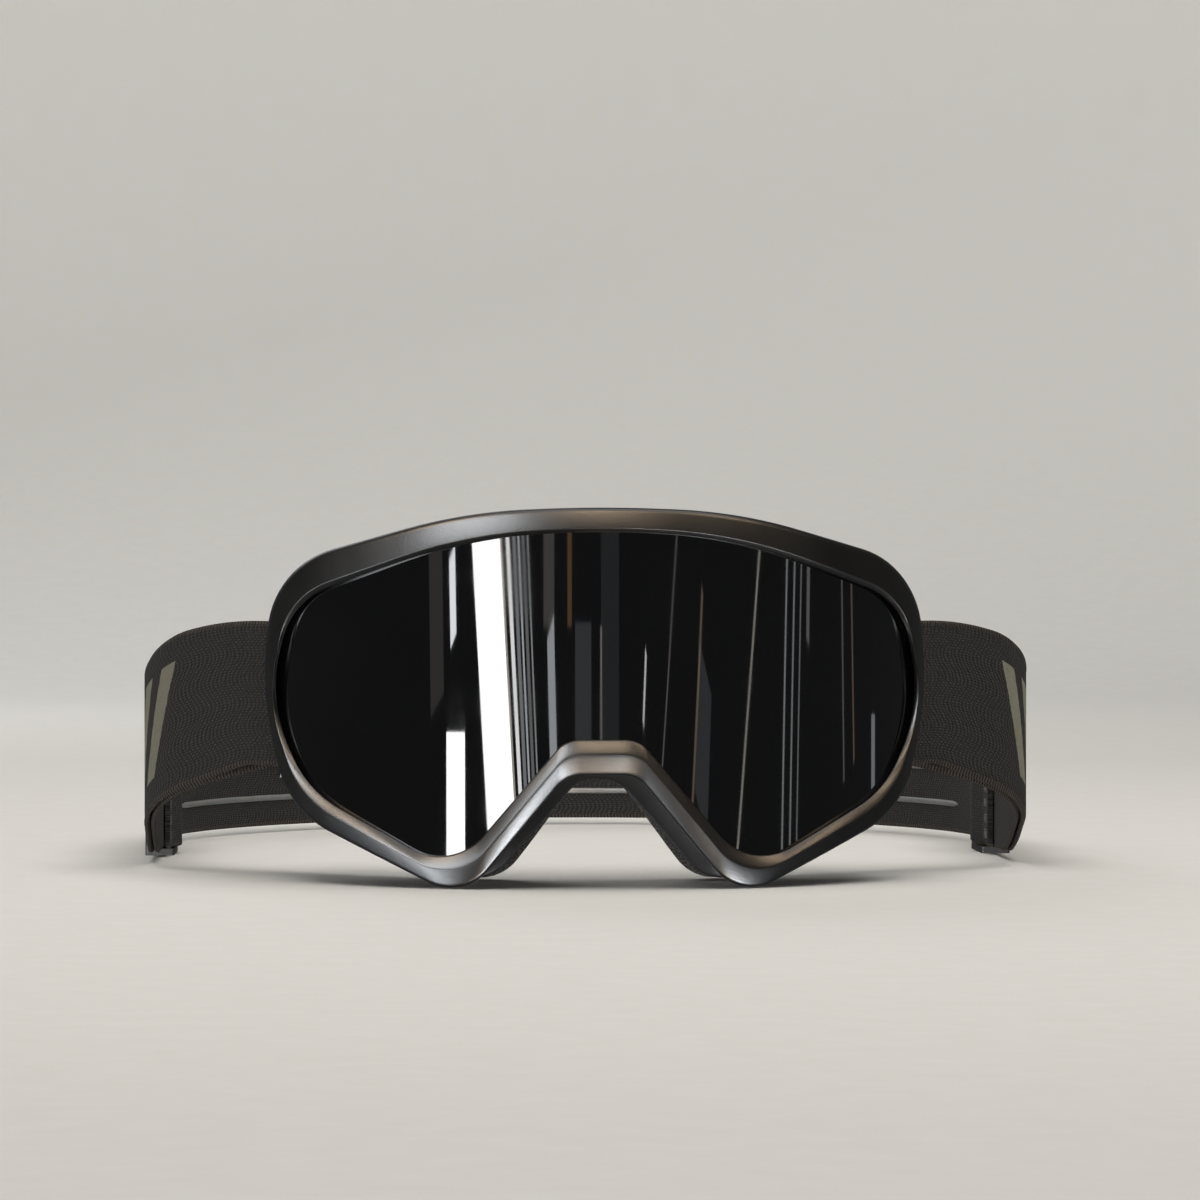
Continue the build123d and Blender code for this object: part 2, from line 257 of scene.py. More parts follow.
def ring_faces(rings, size, closed=False):
    """Faces between rings of points: the last joins the first, or both ends are flat."""
    faces = []
    for ring in range(rings if closed else rings - 1):
        here, there = ring * size, (ring + 1) % rings * size
        for i in range(size):
            n = (i + 1) % size
            faces.append((here + i, here + n, there + n, there + i))
    if not closed:
        faces.append(tuple(range(size)))
        faces.append(tuple((rings - 1) * size + i for i in reversed(range(size))))
    return faces


def lofted(name, loops, sharp_angle=40):
    """A closed ring through loops of equal length."""
    points = [p for loop in loops for p in loop]
    return mesh_piece(name, points, ring_faces(len(loops), len(loops[0]), True), sharp_angle)


# %% [markdown]
# The moulding is one piece of matt black plastic, and its front is what the photograph shows
# best: a narrow facet that falls to the lens, a soft ridge, and a broad facet that falls away to
# a rounded outside edge. Those facets catch the light one by one, so the section is written as
# a short list: how far it is from window to rim, and how deep below the highest front surface.

# %% Section of the bezel, the wall and the flange
lip_depth = 2.6 * mm
bezel_depth = 8.4 * mm
groove_depth = 6.6 * mm
groove_overlap = 1.5 * mm
wall_setback = 1.5 * mm
wall_thickness = 2.2 * mm
shelf_overhang = 0.5 * mm
flange_width = 10.0 * mm
flange_thickness = 2.0 * mm
edge_softness = 0.35 * mm
wall_approach_share = 0.7
flange_root_share = 0.3
shelf_edge_share = 0.9

# Across from window to rim, depth as a share of the lip, and the same depth beside the nose,
# where the outer facet falls away more steeply. The ridge is where depth is 0.
bezel_shares = [
    (0.000, 1.00, 1.00),
    (0.000, 0.62, 0.62),
    (0.012, 0.50, 0.50),
    (0.045, 0.43, 0.43),
    (0.330, 0.065, 0.065),
    (0.395, 0.006, 0.006),
    (0.410, 0.000, 0.000),
    (0.425, 0.006, 0.009),
    (0.510, 0.055, 0.085),
    (0.860, 0.320, 0.580),
    (0.910, 0.385, 0.660),
    (0.955, 0.50, 0.76),
    (0.988, 0.70, 0.88),
    (1.000, 1.00, 1.00),
]
nose_zone_shares = (0.27, 0.40)
nose_top_share = 0.5
ridge_share = 0.41
top_ridge_share = 0.17
ridge_moves_shares = (0.40, 0.62)
# Which outline the side wall keeps inside of: 0 the rim's, 1 the face edge's. The first value
# holds up to the corner, the second after it, so it changes over on the cheek lobes.
wall_follows_shares = [(1, 1), (1, 1), (1, 1), (1, 1), (1, 1), (1, 0), (0, 0)]

# %% [markdown]
# The ridge doesn't keep its place between window and rim. Along the top it lies close to the
# window, and it wanders outwards down the sides. So each station asks how high it is, and the
# list's places across are stretched to fit. Beside the nose the second depth takes over in the
# same soft way.

# %% Where the ridge runs
def eased(share):
    """A share kept between 0 and 1, with a soft start and a soft end."""
    share = min(max(share, 0), 1)
    return share * share * (3 - 2 * share)


def across_shares(across):
    """A place across the bezel at each station."""
    low, high = ridge_moves_shares
    shares = []
    for point in window:
        up = eased((point.y / frame_height - low) / (high - low))
        ridge = ridge_share + (top_ridge_share - ridge_share) * up
        if across <= ridge_share:
            shares.append(across * ridge / ridge_share)
        else:
            shares.append(1 - (1 - across) * (1 - ridge) / (1 - ridge_share))
    return shares


def nose_shares():
    """How much each station belongs to the nose: 1 beside it, 0 beyond the cheek lobes."""
    near, far = nose_zone_shares
    shares = []
    for point in window:
        out = (abs(point.x) / (frame_width / 2) - near) / (far - near)
        shares.append(1 - eased(out) if point.y < nose_top_share * frame_height else 0)
    return shares


def front_loop(across, depth, nose_depth):
    """One loop over the front of the bezel."""
    loop = []
    for p, nose in zip(between(window, rim, across_shares(across)), nose_shares()):
        radius = bezel_radius - lip_depth * (depth + (nose_depth - depth) * nose)
        loop += bent([p], bezel_axis, radius)
    return loop


print("loops over the front of the bezel:", len(bezel_shares))

# %% [markdown]
# Behind the bezel stands the side wall, then the flange that carries the foam, and on the way
# back inside comes the groove that holds the lens. All of them are more loops of the same
# ring, so the moulding is one closed skin as it is in the real tool.

# %% The moulding
def wall_shares():
    """The wall's choice of outline at each station."""
    pairs = wall_follows_shares + [(b, a) for a, b in reversed(wall_follows_shares[1:])]
    shares = []
    for before, after in pairs:
        shares += [before + (after - before) * k / arc_steps for k in range(arc_steps + 1)]
        shares += [after] * (side_steps - 1)
    return shares


def wall_line(inset):
    """The side wall's outline, inside both the rim and the face edge."""
    inset += wall_setback
    return between(outline(rim_shares, -inset), outline(face_shares, -inset), wall_shares())


def moulding_loops():
    """Loops of the moulding's section, from the window's edge over the front and round the back."""
    soft = edge_softness
    back, groove_floor = bezel_radius - bezel_depth, bezel_radius - groove_depth
    flange_back = flange_radius - flange_thickness
    outer_wall, inner_wall = wall_line(0), wall_line(wall_thickness)
    soft_rim, soft_face = outline(rim_shares, -soft), outline(face_shares, -soft)
    flange_edge = outline(face_shares, -flange_width)
    soft_flange = outline(face_shares, soft - flange_width)
    shelf = outline(window_shares, shelf_overhang)
    groove = outline(window_shares, groove_overlap)
    behind = [
        (rim, bezel_axis, back + soft),
        (soft_rim, bezel_axis, back),
        (between(rim, outer_wall, wall_approach_share), bezel_axis, back),
        (outer_wall, bezel_axis, back - soft),
        (outer_wall, face_axis, flange_radius + soft),
        (between(outer_wall, face_edge, flange_root_share), face_axis, flange_radius),
        (soft_face, face_axis, flange_radius),
        (face_edge, face_axis, flange_radius - soft),
        (face_edge, face_axis, flange_back + soft),
        (soft_face, face_axis, flange_back),
        (soft_flange, face_axis, flange_back),
        (flange_edge, face_axis, flange_back + soft),
        (flange_edge, face_axis, flange_radius - soft),
        (soft_flange, face_axis, flange_radius),
        (inner_wall, face_axis, flange_radius + soft),
        (inner_wall, bezel_axis, back - soft),
        (between(inner_wall, shelf, shelf_edge_share), bezel_axis, back),
        (shelf, bezel_axis, back + soft),
        (shelf, bezel_axis, groove_floor),
        (groove, bezel_axis, groove_floor),
        (groove, bezel_axis, bezel_radius - lip_depth),
    ]
    return [front_loop(*row) for row in bezel_shares] + [bent(*row) for row in behind]


moulding = lofted("frame_shell", moulding_loops(), sharp_angle=46)
print("moulding faces:", len(moulding.data.polygons))

# %% [markdown]
# Slots in the top wall and in the two cheek walls let air through. They are cut with a boolean
# on rounded blocks, because the wall is bent and a cut finds its surface by itself.

# %% Vents
vent_length = 24.0 * mm
vent_pitch = 32.0 * mm
vent_count = 3
vent_front_gap = 4.0 * mm
vent_depth = 12.0 * mm
vent_round = 2.2 * mm
vent_reach = 9.0 * mm
lower_vent_middle = 59.0 * mm
lower_vent_height = 26.0 * mm
vent_segments = 4
round_edge_share = 0.5


def block(name, low, high, round_off, segments=3):
    """A box between two corners, with every edge rounded."""
    work = bmesh.new()
    bmesh.ops.create_cube(work, size=1)
    low, high = Vector(low), Vector(high)
    for vert in work.verts:
        vert.co = (low + high) / 2 + Vector(c * s for c, s in zip(vert.co, high - low))
    bmesh.ops.bevel(
        work, geom=work.edges[:], offset=round_off, segments=segments,
        profile=round_edge_share, affect="EDGES",
    )
    return added(name, bpy.data.meshes.new(name), work)


def apply_modifiers(obj):
    """The object with its mesh as its modifiers leave it."""
    graph = bpy.context.evaluated_depsgraph_get()
    made = bpy.data.meshes.new_from_object(obj.evaluated_get(graph))
    obj.modifiers.clear()
    obj.data = made
    return obj


def cut(obj, cutters):
    """Take the cutters out of an object, and remove them."""
    for cutter in cutters:
        change = obj.modifiers.new("cut", "BOOLEAN")
        change.object = cutter
        change.solver = "EXACT"
    apply_modifiers(obj)
    for cutter in cutters:
        bpy.data.objects.remove(cutter)


def vent_cutters():
    """Rounded blocks through the top wall and the cheek walls."""
    places = []
    for index in range(vent_count):
        x = (index - (vent_count - 1) / 2) * vent_pitch
        places.append((x, frame_height - vent_reach, frame_height + vent_reach))
    places += [(side * lower_vent_middle, -vent_round, lower_vent_height) for side in (-1, 1)]
    cutters = []
    for x, bottom, top in places:
        y = depth_at(x, bezel_axis, bezel_radius - bezel_depth - vent_front_gap)
        low = (x - vent_length / 2, y, bottom)
        high = (x + vent_length / 2, y + vent_depth, top)
        cutters.append(block("vent_cutter", low, high, vent_round, vent_segments))
    return cutters


cut(moulding, vent_cutters())
print("moulding with vents, faces:", len(moulding.data.polygons))

# %% [markdown]
# The strap is held by a round upright bar at each side. On the real part the ears that carry
# the bars are grown out of the wall. Here each ear is a rounded block whose root sinks into the
# wall, and the bar ends inside a pair of them.

# %% Ears and strap bars
bar_offset = 85.5 * mm
bar_depth = 58.8 * mm
bar_radius = 1.8 * mm
bar_sides = 32
ear_thickness = 3.2 * mm
ear_front_depth = 47.0 * mm
ear_back_depth = 61.8 * mm
ear_round = 1.0 * mm
strap_width = 40.0 * mm
moving_clearance = 0.3 * mm
ear_gap = strap_width / 2 + moving_clearance
wall_search = 3.0 * mm


def upright_rod(name, place, radius, low, high):
    """An upright round rod."""
    work = bmesh.new()
    bmesh.ops.create_cone(
        work, cap_ends=True, segments=bar_sides, radius1=radius, radius2=radius, depth=high - low
    )
    bmesh.ops.translate(work, verts=work.verts, vec=(*place, (low + high) / 2))
    return added(name, bpy.data.meshes.new(name), work)


def joined(pieces):
    """Several objects as one, under the name of the first."""
    for piece in bpy.context.view_layer.objects.selected:
        piece.select_set(False)
    for piece in pieces:
        piece.select_set(True)
    bpy.context.view_layer.objects.active = pieces[0]
    bpy.ops.object.join()
    return pieces[0]


def wall_reach(height):
    """How far out the side wall's middle is at a height."""
    line = wall_line(wall_thickness / 2)
    return max(p.x for p in line if p.x > 0 and abs(p.y - height) < wall_search)


def ear_pieces():
    """Two ears and a bar at each side."""
    pieces = []
    for side in (-1, 1):
        for level in (-1, 1):
            inner = frame_middle + level * ear_gap
            outer = inner + level * ear_thickness
            root = wall_reach((inner + outer) / 2)
            xs = sorted((side * root, side * (bar_offset + bar_radius)))
            zs = sorted((inner, outer))
            low = (xs[0], front + ear_front_depth, zs[0])
            high = (xs[1], front + ear_back_depth, zs[1])
            pieces.append(block("ear", low, high, ear_round))
        place = (side * bar_offset, front + bar_depth)
        reach = ear_gap + ear_thickness / 2
        low, high = frame_middle - reach, frame_middle + reach
        pieces.append(upright_rod("bar", place, bar_radius, low, high))
    return pieces


def stands_for(piece, node, body):
    """Hide the solid a piece replaces, and attach the piece to the body it rides on."""
    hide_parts(node)
    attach(piece, body)


moulding = shaded(joined([moulding] + ear_pieces()), 40)
stands_for(moulding, "frame", "root")
print("moulding with vents and ears, faces:", len(moulding.data.polygons))

# %% [markdown]
# The lens is a double pane: a dark polycarbonate front, a soft spacer ring, and a thin inner
# pane that keeps it from misting. A pane is a sheet bent one way, so its front is a grid of
# columns from the lower edge of its outline to the upper edge, laid on the cylinder. That
# gives clean reflections, which a fan of long triangles across the outline would break up.

# %% Panes
lens_lap = 1.35 * mm
lens_clearance = 0.15 * mm
bond_gap = 0.1 * mm
outer_lens_thickness = 0.9 * mm
inner_lens_thickness = 0.6 * mm
spacer_thickness = 2.0 * mm
pane_columns = 220
pane_rows = 28

outer_lens_radius = bezel_radius - lip_depth - lens_clearance
spacer_radius = outer_lens_radius - outer_lens_thickness - bond_gap
inner_lens_radius = spacer_radius - spacer_thickness - bond_gap


def crossings(points, x):
    """The lowest and highest height at which an outline crosses an upright line."""
    heights = []
    for i, p in enumerate(points):
        q = points[(i + 1) % len(points)]
        if (p.x - x) * (q.x - x) <= 0 and p.x != q.x:
            heights.append(p.y + (q.y - p.y) * (x - p.x) / (q.x - p.x))
    return min(heights), max(heights)


def pane_faces():
    """Faces of both sides of a pane's grid, and of its edge all round."""
    rows, half = pane_rows + 1, (pane_columns + 1) * (pane_rows + 1)
    faces = []
    for column in range(pane_columns):
        here, there = column * rows, (column + 1) * rows
        for r in range(pane_rows):
            a, b = here + r, there + r
            faces.append((a, b, b + 1, a + 1))
            faces.append((half + a, half + a + 1, half + b + 1, half + b))
        for r in (0, pane_rows):
            faces.append((here + r, there + r, half + there + r, half + here + r))
    for column in (0, pane_columns):
        for r in range(pane_rows):
            a = column * rows + r
            faces.append((a, a + 1, half + a + 1, half + a))
    return faces


def pane(name, radius, thickness):
    """A bent pane with the outline of the window and its lap."""
    edge = outline(window_shares, lens_lap)
    reach = max(p.x for p in edge) - bond_gap
    flat = []
    for column in range(pane_columns + 1):
        x = -reach * math.cos(math.pi * column / pane_columns)
        low, high = crossings(edge, x)
        flat += [Vector((x, low + (high - low) * r / pane_rows)) for r in range(pane_rows + 1)]
    points = bent(flat, bezel_axis, radius) + bent(flat, bezel_axis, radius - thickness)
    return mesh_piece(name, points, pane_faces(), sharp_angle=30)


outer_pane = pane("outer_pane", outer_lens_radius, outer_lens_thickness)
inner_pane = pane("inner_pane", inner_lens_radius, inner_lens_thickness)
stands_for(outer_pane, "outer_lens", "root")
stands_for(inner_pane, "inner_lens", "root")
print("pane faces:", len(outer_pane.data.polygons), len(inner_pane.data.polygons))

# %% [markdown]
# The spacer is a strip of soft black foam glued between the panes. It follows their edge, so it
# is one more ring of loops, and its free side bulges a little between the panes.

# %% Spacer
spacer_width = 4.0 * mm
spacer_bulge_share = 0.08


def spacer_ring():
    """The soft ring between the two panes."""
    outer = outline(window_shares, lens_lap)
    inner = outline(window_shares, lens_lap - spacer_width)
    bulge = between(inner, outer, -spacer_bulge_share)
    back = spacer_radius - spacer_thickness
    rows = [
        (outer, spacer_radius),
        (inner, spacer_radius),
        (bulge, (spacer_radius + back) / 2),
        (inner, back),
        (outer, back),
    ]
    loops = [bent(points, bezel_axis, radius) for points, radius in rows]
    return lofted("spacer_ring", loops, sharp_angle=60)


spacer = spacer_ring()
stands_for(spacer, "lens_spacer", "root")
print("spacer faces:", len(spacer.data.polygons))

# %% [markdown]
# Three layers of foam make the face pad: a firm base that holds the glue, a thick soft layer
# whose sides draw in, and a brushed fleece against the skin. Each is a ring with a rounded
# section. Soft foam is never dead even, so after the ring is made each point moves a little
# along its normal, by a slow noise for the unevenness and a fine one for the nap.

# %% Sizes of the face foam
foam_width = 12.0 * mm
foam_base_thickness = 3.0 * mm
foam_middle_thickness = 8.0 * mm
fleece_thickness = 2.5 * mm
foam_base_radius = flange_radius - flange_thickness - bond_gap
foam_middle_radius = foam_base_radius - foam_base_thickness - bond_gap
fleece_radius = foam_middle_radius - foam_middle_thickness - bond_gap

# The pad follows the face edge, but the soft foam swells a little beside the nose.
nose_corner = 5
nose_swell_share = 0.313
pad_shares = list(face_shares)
pad_shares[nose_corner] = (nose_swell_share, *face_shares[nose_corner][1:])

# Across from the inner edge to the outer, and depth from the front face to the back.
base_section_shares = [
    (0.00, 0.15), (0.02, 0.00), (0.30, 0.00), (0.70, 0.00), (0.98, 0.00), (1.00, 0.15),
    (1.005, 0.50), (1.00, 0.85), (0.98, 1.00), (0.70, 1.00), (0.30, 1.00), (0.02, 1.00),
    (0.00, 0.85), (-0.005, 0.50),
]
middle_section_shares = [
    (0.02, 0.05), (0.06, 0.00), (0.30, 0.00), (0.70, 0.00), (0.94, 0.00), (0.98, 0.05),
    (0.955, 0.20), (0.930, 0.38), (0.925, 0.55), (0.945, 0.75), (0.985, 0.93), (0.95, 1.00),
    (0.70, 1.00), (0.30, 1.00), (0.05, 1.00), (0.015, 0.93), (0.055, 0.75), (0.075, 0.55),
    (0.070, 0.38), (0.045, 0.20),
]
fleece_section_shares = [
    (0.01, 0.20), (0.05, 0.02), (0.30, 0.00), (0.70, 0.00), (0.95, 0.02), (0.99, 0.20),
    (1.00, 0.45), (0.98, 0.68), (0.93, 0.84), (0.84, 0.94), (0.70, 0.99), (0.50, 1.00),
    (0.30, 0.99), (0.16, 0.94), (0.07, 0.84), (0.02, 0.68), (0.00, 0.45),
]
# Piece, node, slot, radius, thickness, section, how far it moves, and how full it is.
foam_layers = [
    ("pad_base", "foam_base", "foam", foam_base_radius, foam_base_thickness,
     base_section_shares, 0.05 * mm, 0.9),
    ("pad_middle", "foam_middle", "foam", foam_middle_radius, foam_middle_thickness,
     middle_section_shares, 0.16 * mm, 0.8),
    ("pad_fleece", "foam_fleece", "fleece", fleece_radius, fleece_thickness,
     fleece_section_shares, 0.16 * mm, 0.7),
]

# %% [markdown]
# Noise scales are in waves per metre: 90 gives swells of about a centimetre, 1400 gives a nap
# finer than a millimetre. The divided mesh is fine enough to show both.

# %% Face foam
foam_sway_scale = 90
foam_nap_scale = 1400


def ruffled(obj, sway, sway_scale, nap, nap_scale):
    """Move each point along its normal by a slow and a fine noise."""
    normals = [v.vector.copy() for v in obj.data.vertex_normals]
    for vert, normal in zip(obj.data.vertices, normals):
        slow = noise.noise(vert.co * sway_scale) * sway
        fine = noise.noise(vert.co * nap_scale) * nap
        vert.co += normal * (slow + fine)


def denser(obj):
    """The object with each face divided in four and smoothed."""
    change = obj.modifiers.new("denser", "SUBSURF")
    change.levels = change.render_levels = 1
    return apply_modifiers(obj)


def foam_ring(name, radius, thickness, section):
    """One layer of the pad."""
    inner, outer = outline(pad_shares, -foam_width), outline(pad_shares)
    loops = [
        bent(between(inner, outer, across), face_axis, radius - depth * thickness)
        for across, depth in section
    ]
    return denser(lofted(name, loops, sharp_angle=180))


pads = {}
for name, node, slot, radius, thickness, section, fine, fill in foam_layers:
    pad = foam_ring(name, radius, thickness, section)
    ruffled(pad, fine, foam_sway_scale, fine, foam_nap_scale)
    pads[name] = shaded(pad, 180)
    stands_for(pad, node, "root")
    print(name, "faces:", len(pad.data.polygons))

# %% [markdown]
# Behind the vents lie thin strips of open foam that keep dust out. They follow the inside of
# the wall, so they are built from a stretch of the wall's own outline: the stations whose place
# across falls within the strip's length.

# %% Vent foam
vent_foam_thickness = 3.0 * mm
vent_foam_margin = 4.0 * mm
vent_foam_sway, vent_foam_sway_scale = 0.08 * mm, 120
vent_foam_nap, vent_foam_nap_scale = 0.12 * mm, 1500
vent_foam_round_share = 0.12


def stretch_of_wall(line, middle, reach, low, high):
    """The stations of a line within a reach of a middle and between two heights, in order."""
    picked = [
        i for i, p in enumerate(line) if abs(p.x - middle) <= reach and low < p.y < high
    ]
    breaks = [k for k in range(1, len(picked)) if picked[k] - picked[k - 1] > 1]
    return picked[breaks[0]:] + picked[:breaks[0]] if breaks else picked


def vent_strip(name, middle, reach, low, high):
    """A strip of foam inside the wall."""
    outer = wall_line(wall_thickness + bond_gap)
    inner = wall_line(wall_thickness + bond_gap + vent_foam_thickness)
    near = bezel_radius - bezel_depth - bond_gap
    far = near - (vent_front_gap + vent_depth + vent_foam_margin)
    soft, firm = vent_foam_round_share, 1 - vent_foam_round_share
    section = [
        (0, soft), (soft, 0), (firm, 0), (1, soft), (1, firm), (firm, 1), (soft, 1), (0, firm)
    ]
    picked = stretch_of_wall(outer, middle, reach, low, high)
    points = []
    for i in picked:
        for out, deep in section:
            p = inner[i].lerp(outer[i], out)
            y = depth_at(p.x, bezel_axis, near + (far - near) * deep)
            pad_front = depth_at(p.x, face_axis, flange_radius + 2 * bond_gap)
            points.append((p.x, min(y, pad_front), p.y))
    strip = denser(mesh_piece(name, points, ring_faces(len(picked), len(section)), 180))
    ruffled(strip, vent_foam_sway, vent_foam_sway_scale, vent_foam_nap, vent_foam_nap_scale)
    return shaded(strip, 60)


top_reach = (vent_pitch * (vent_count - 1) + vent_length) / 2 + vent_foam_margin
low_reach = vent_length / 2 + vent_foam_margin
for node, *place in (
    ("top_vent_foam", 0, top_reach, frame_middle, frame_height),
    ("lower_vent_foam_left", lower_vent_middle, low_reach, -frame_height, lower_vent_height),
    ("lower_vent_foam_right", -lower_vent_middle, low_reach, -frame_height, lower_vent_height),
):
    strip = vent_strip(node.replace("foam", "pad"), *place)
    stands_for(strip, node, "root")
    pads[strip.name] = strip
    print(strip.name, "faces:", len(strip.data.polygons))

# %% [markdown]
# The strap is knitted elastic, 40 mm wide. From each bar it runs out and back, bends round to
# the side of the head, drops on its way back, and closes behind the head in half a circle.
# Cloth simulation would only loosen it, and on a stretched strap nothing sags, so the band is
# swept along its real route instead. Seen from above the route is lines and arcs, and seen from
# the side each thread of the band is the middle line moved up or down by its place in the width.

# %% Sizes of the strap's route
strap_thickness = 1.5 * mm
strap_half_span = 126.2 * mm
strap_flare_angle = math.radians(50)
strap_drop_angle = math.radians(25)
strap_drop_start = 68.5 * mm
strap_bend_radius = 38.0 * mm
strap_edge_bend_radius = 30.0 * mm
strap_layer_gap = 0.4 * mm
strap_step = 1.5 * mm
slider_back_gap = 24.55 * mm
slider_pin_radius = 1.2 * mm
slider_rail = 2.0 * mm
tail_length = 22.0 * mm
tail_blend = 7.0 * mm
back_height = strap_width / 2 + moving_clearance + slider_rail
rear = cad_box[1].y

flare = Vector((math.sin(strap_flare_angle), math.cos(strap_flare_angle)))
flare_side = Vector((math.cos(strap_flare_angle), -math.sin(strap_flare_angle)))
bar = Vector((bar_offset, front + bar_depth))
loop_radius = bar_radius + moving_clearance + strap_thickness / 2
flare_start = bar + flare_side * loop_radius
bend_x = strap_half_span - strap_bend_radius
bend_start_x = bend_x + strap_bend_radius * flare_side.x
bend_start = flare_start + flare * ((bend_start_x - flare_start.x) / flare.x)
bend_middle = bend_start - flare_side * strap_bend_radius
back_middle = Vector((0, rear - strap_thickness / 2 - strap_half_span))
layer_step = strap_thickness + strap_layer_gap
slider_middle = Vector((strap_half_span, back_middle.y - slider_back_gap))
pin_offset = layer_step + strap_thickness / 2 + moving_clearance + slider_pin_radius
print("bend starts at", [round(c / mm, 1) for c in bend_start], "mm")
print("slider's middle at", [round(c / mm, 1) for c in slider_middle], "mm")

# %% [markdown]
# A band is a sweep: at each step along the route, a flat section with rolled edges. The
# section is a closed loop of places across the width, so the band has a real thickness, and
# each ring gets a length along the strap. That length and the place across go into a UV map,
# because the knit, the woven edges and the print all follow the band itself.

# %% Sweep a band along its route
edge_roll = 0.35 * mm
edge_width = 1.3 * mm
width_lines = 26
# In from the edge as a share of the edge's width, and out as a share of its roll.
roll_shares = ((0.6, 0.3), (0.25, 0.1))


def band_height(y, offset):
    """The height of a thread of the band at a place along it, offset up from its middle."""
    half = strap_drop_angle / 2
    slope = math.tan(strap_drop_angle)
    start = front + strap_drop_start
    end = start + (frame_middle - back_height) / slope
    setback = strap_edge_bend_radius * math.tan(half)
    first, last = start - setback, end + setback
    over, under = strap_edge_bend_radius + offset, strap_edge_bend_radius - offset
    if y <= first:
        return frame_middle + offset
    if y < first + over * math.sin(strap_drop_angle):
        return frame_middle - strap_edge_bend_radius + math.sqrt(over**2 - (y - first) ** 2)
    if y < last - under * math.sin(strap_drop_angle):
        return frame_middle + offset / math.cos(strap_drop_angle) - (y - start) * slope
    if y < last:
        return back_height + strap_edge_bend_radius - math.sqrt(under**2 - (last - y) ** 2)
    return back_height + offset


def band_section():
    """Places across the width and out from its middle surface, round the section."""
    half, flat = strap_width / 2, strap_thickness / 2
    inner = half - edge_width
    upper = [(inner * (2 * k / width_lines - 1), flat) for k in range(width_lines + 1)]
    upper += [(half - edge_width * inward, flat + edge_roll * out) for inward, out in roll_shares]
    upper += [(half, 0)]
    return upper + [(-across, -out) for across, out in upper]


def swept_band(name, route):
    """A band along a route in plan, with a UV map in metres."""
    section = band_section()
    size = len(section)
    points, lengths = [], [0.0]
    for p, q in zip(route, route[1:]):
        lengths.append(lengths[-1] + (q - p).length)
    for i, place in enumerate(route):
        ahead = route[min(i + 1, len(route) - 1)] - route[max(i - 1, 0)]
        side = Vector((ahead.y, -ahead.x)).normalized()
        for offset, out in section:
            spot = place + side * out
            points.append((spot.x, spot.y, band_height(spot.y, offset)))
    obj = mesh_piece(name, points, ring_faces(len(route), size), sharp_angle=70)
    layer = obj.data.uv_layers.new(name="strap")
    for loop in obj.data.loops:
        ring, spot = divmod(loop.vertex_index, size)
        layer.data[loop.index].uv = (lengths[ring], section[spot][0] + strap_width / 2)
    return obj


print("points round the band's section:", len(band_section()))

# %% [markdown]
# Two routes serve both sides, because the right one mirrors the left. The outer stretch loops
# round the bar and runs back to the rear stretch. The inner layer starts at the same loop,
# follows inside the outer one, goes round the slider's pin and ends in the sewn tail.

# %% Routes of the bands
same_place = 0.0001 * mm


def arc(centre, radius, start_angle, end_angle, step):
    """Points along a circle, from one angle to another, about a step apart."""
    count = max(2, math.ceil(abs(end_angle - start_angle) * radius / step))
    angles = [start_angle + (end_angle - start_angle) * k / count for k in range(count + 1)]
    return [centre + Vector((math.cos(a), math.sin(a))) * radius for a in angles]


def rounded(corners, radii, step):
    """A line through corners in plan, each rounded, as points."""
    points = [corners[0]]
    for before, corner, after, radius in zip(corners, corners[1:], corners[2:], radii):
        into, _, turn = directions(before, corner, after)
        count = max(2, math.ceil(abs(turn) * radius / step))
        points += corner_arc(corner, into, turn, radius, count)
    return points + [corners[-1]]


def side_route():
    """From round the bar to where the rear stretch starts, on the wearer's left."""
    start_angle = math.atan2(-flare_side.y, -flare_side.x)
    line = arc(bar, loop_radius, start_angle, start_angle + math.pi, strap_step / 3)
    bend = arc(bend_middle, strap_bend_radius, -strap_flare_angle, 0, strap_step)
    return line + [bend_start] + bend[1:] + [Vector((strap_half_span, back_middle.y))]


def return_route():
    """From the bar back along the inside to the slider's pin, round it, and the sewn tail."""
    start = bar - flare_side * loop_radius
    inner_bend = strap_bend_radius - layer_step
    half = strap_flare_angle / 2
    corner = bend_middle + Vector((math.cos(half), -math.sin(half))) * (inner_bend / math.cos(half))
    lead = flare * (2 * loop_radius)
    corners = [
        start,
        start + lead,
        bend_start - flare_side * layer_step - lead,
        corner,
        slider_middle - Vector((layer_step, 0)),
    ]
    small = strap_bend_radius / 2
    line = rounded(corners, [small, small, inner_bend], strap_step)
    pin = slider_middle - Vector((pin_offset, 0))
    pin_loop_radius = pin_offset - layer_step
    line += arc(pin, pin_loop_radius, 0, math.pi, strap_step / 3)[1:]
    far = pin.x - pin_loop_radius
    near = slider_middle.x - 2 * layer_step
    tail = [
        Vector((far, slider_middle.y)),
        Vector((far, slider_middle.y - tail_blend / 2)),
        Vector((near, slider_middle.y - tail_blend * 3 / 2)),
        Vector((near, slider_middle.y - tail_length)),
    ]
    return line + rounded(tail, [tail_blend / 2] * 2, strap_step / 2)[1:]


def route_length(line):
    """The length of a line of points."""
    return sum((q - p).length for p, q in zip(line, line[1:]))


def even_route(line, step):
    """A route with the loop's fine points kept, and even steps elsewhere."""
    kept = [line[0]]
    for p in line[1:]:
        start = kept[-1]
        pieces = max(1, math.ceil((p - start).length / step))
        kept += [start.lerp(p, k / pieces) for k in range(1, pieces + 1)]
    return [p for i, p in enumerate(kept) if i == 0 or (p - kept[i - 1]).length > same_place]
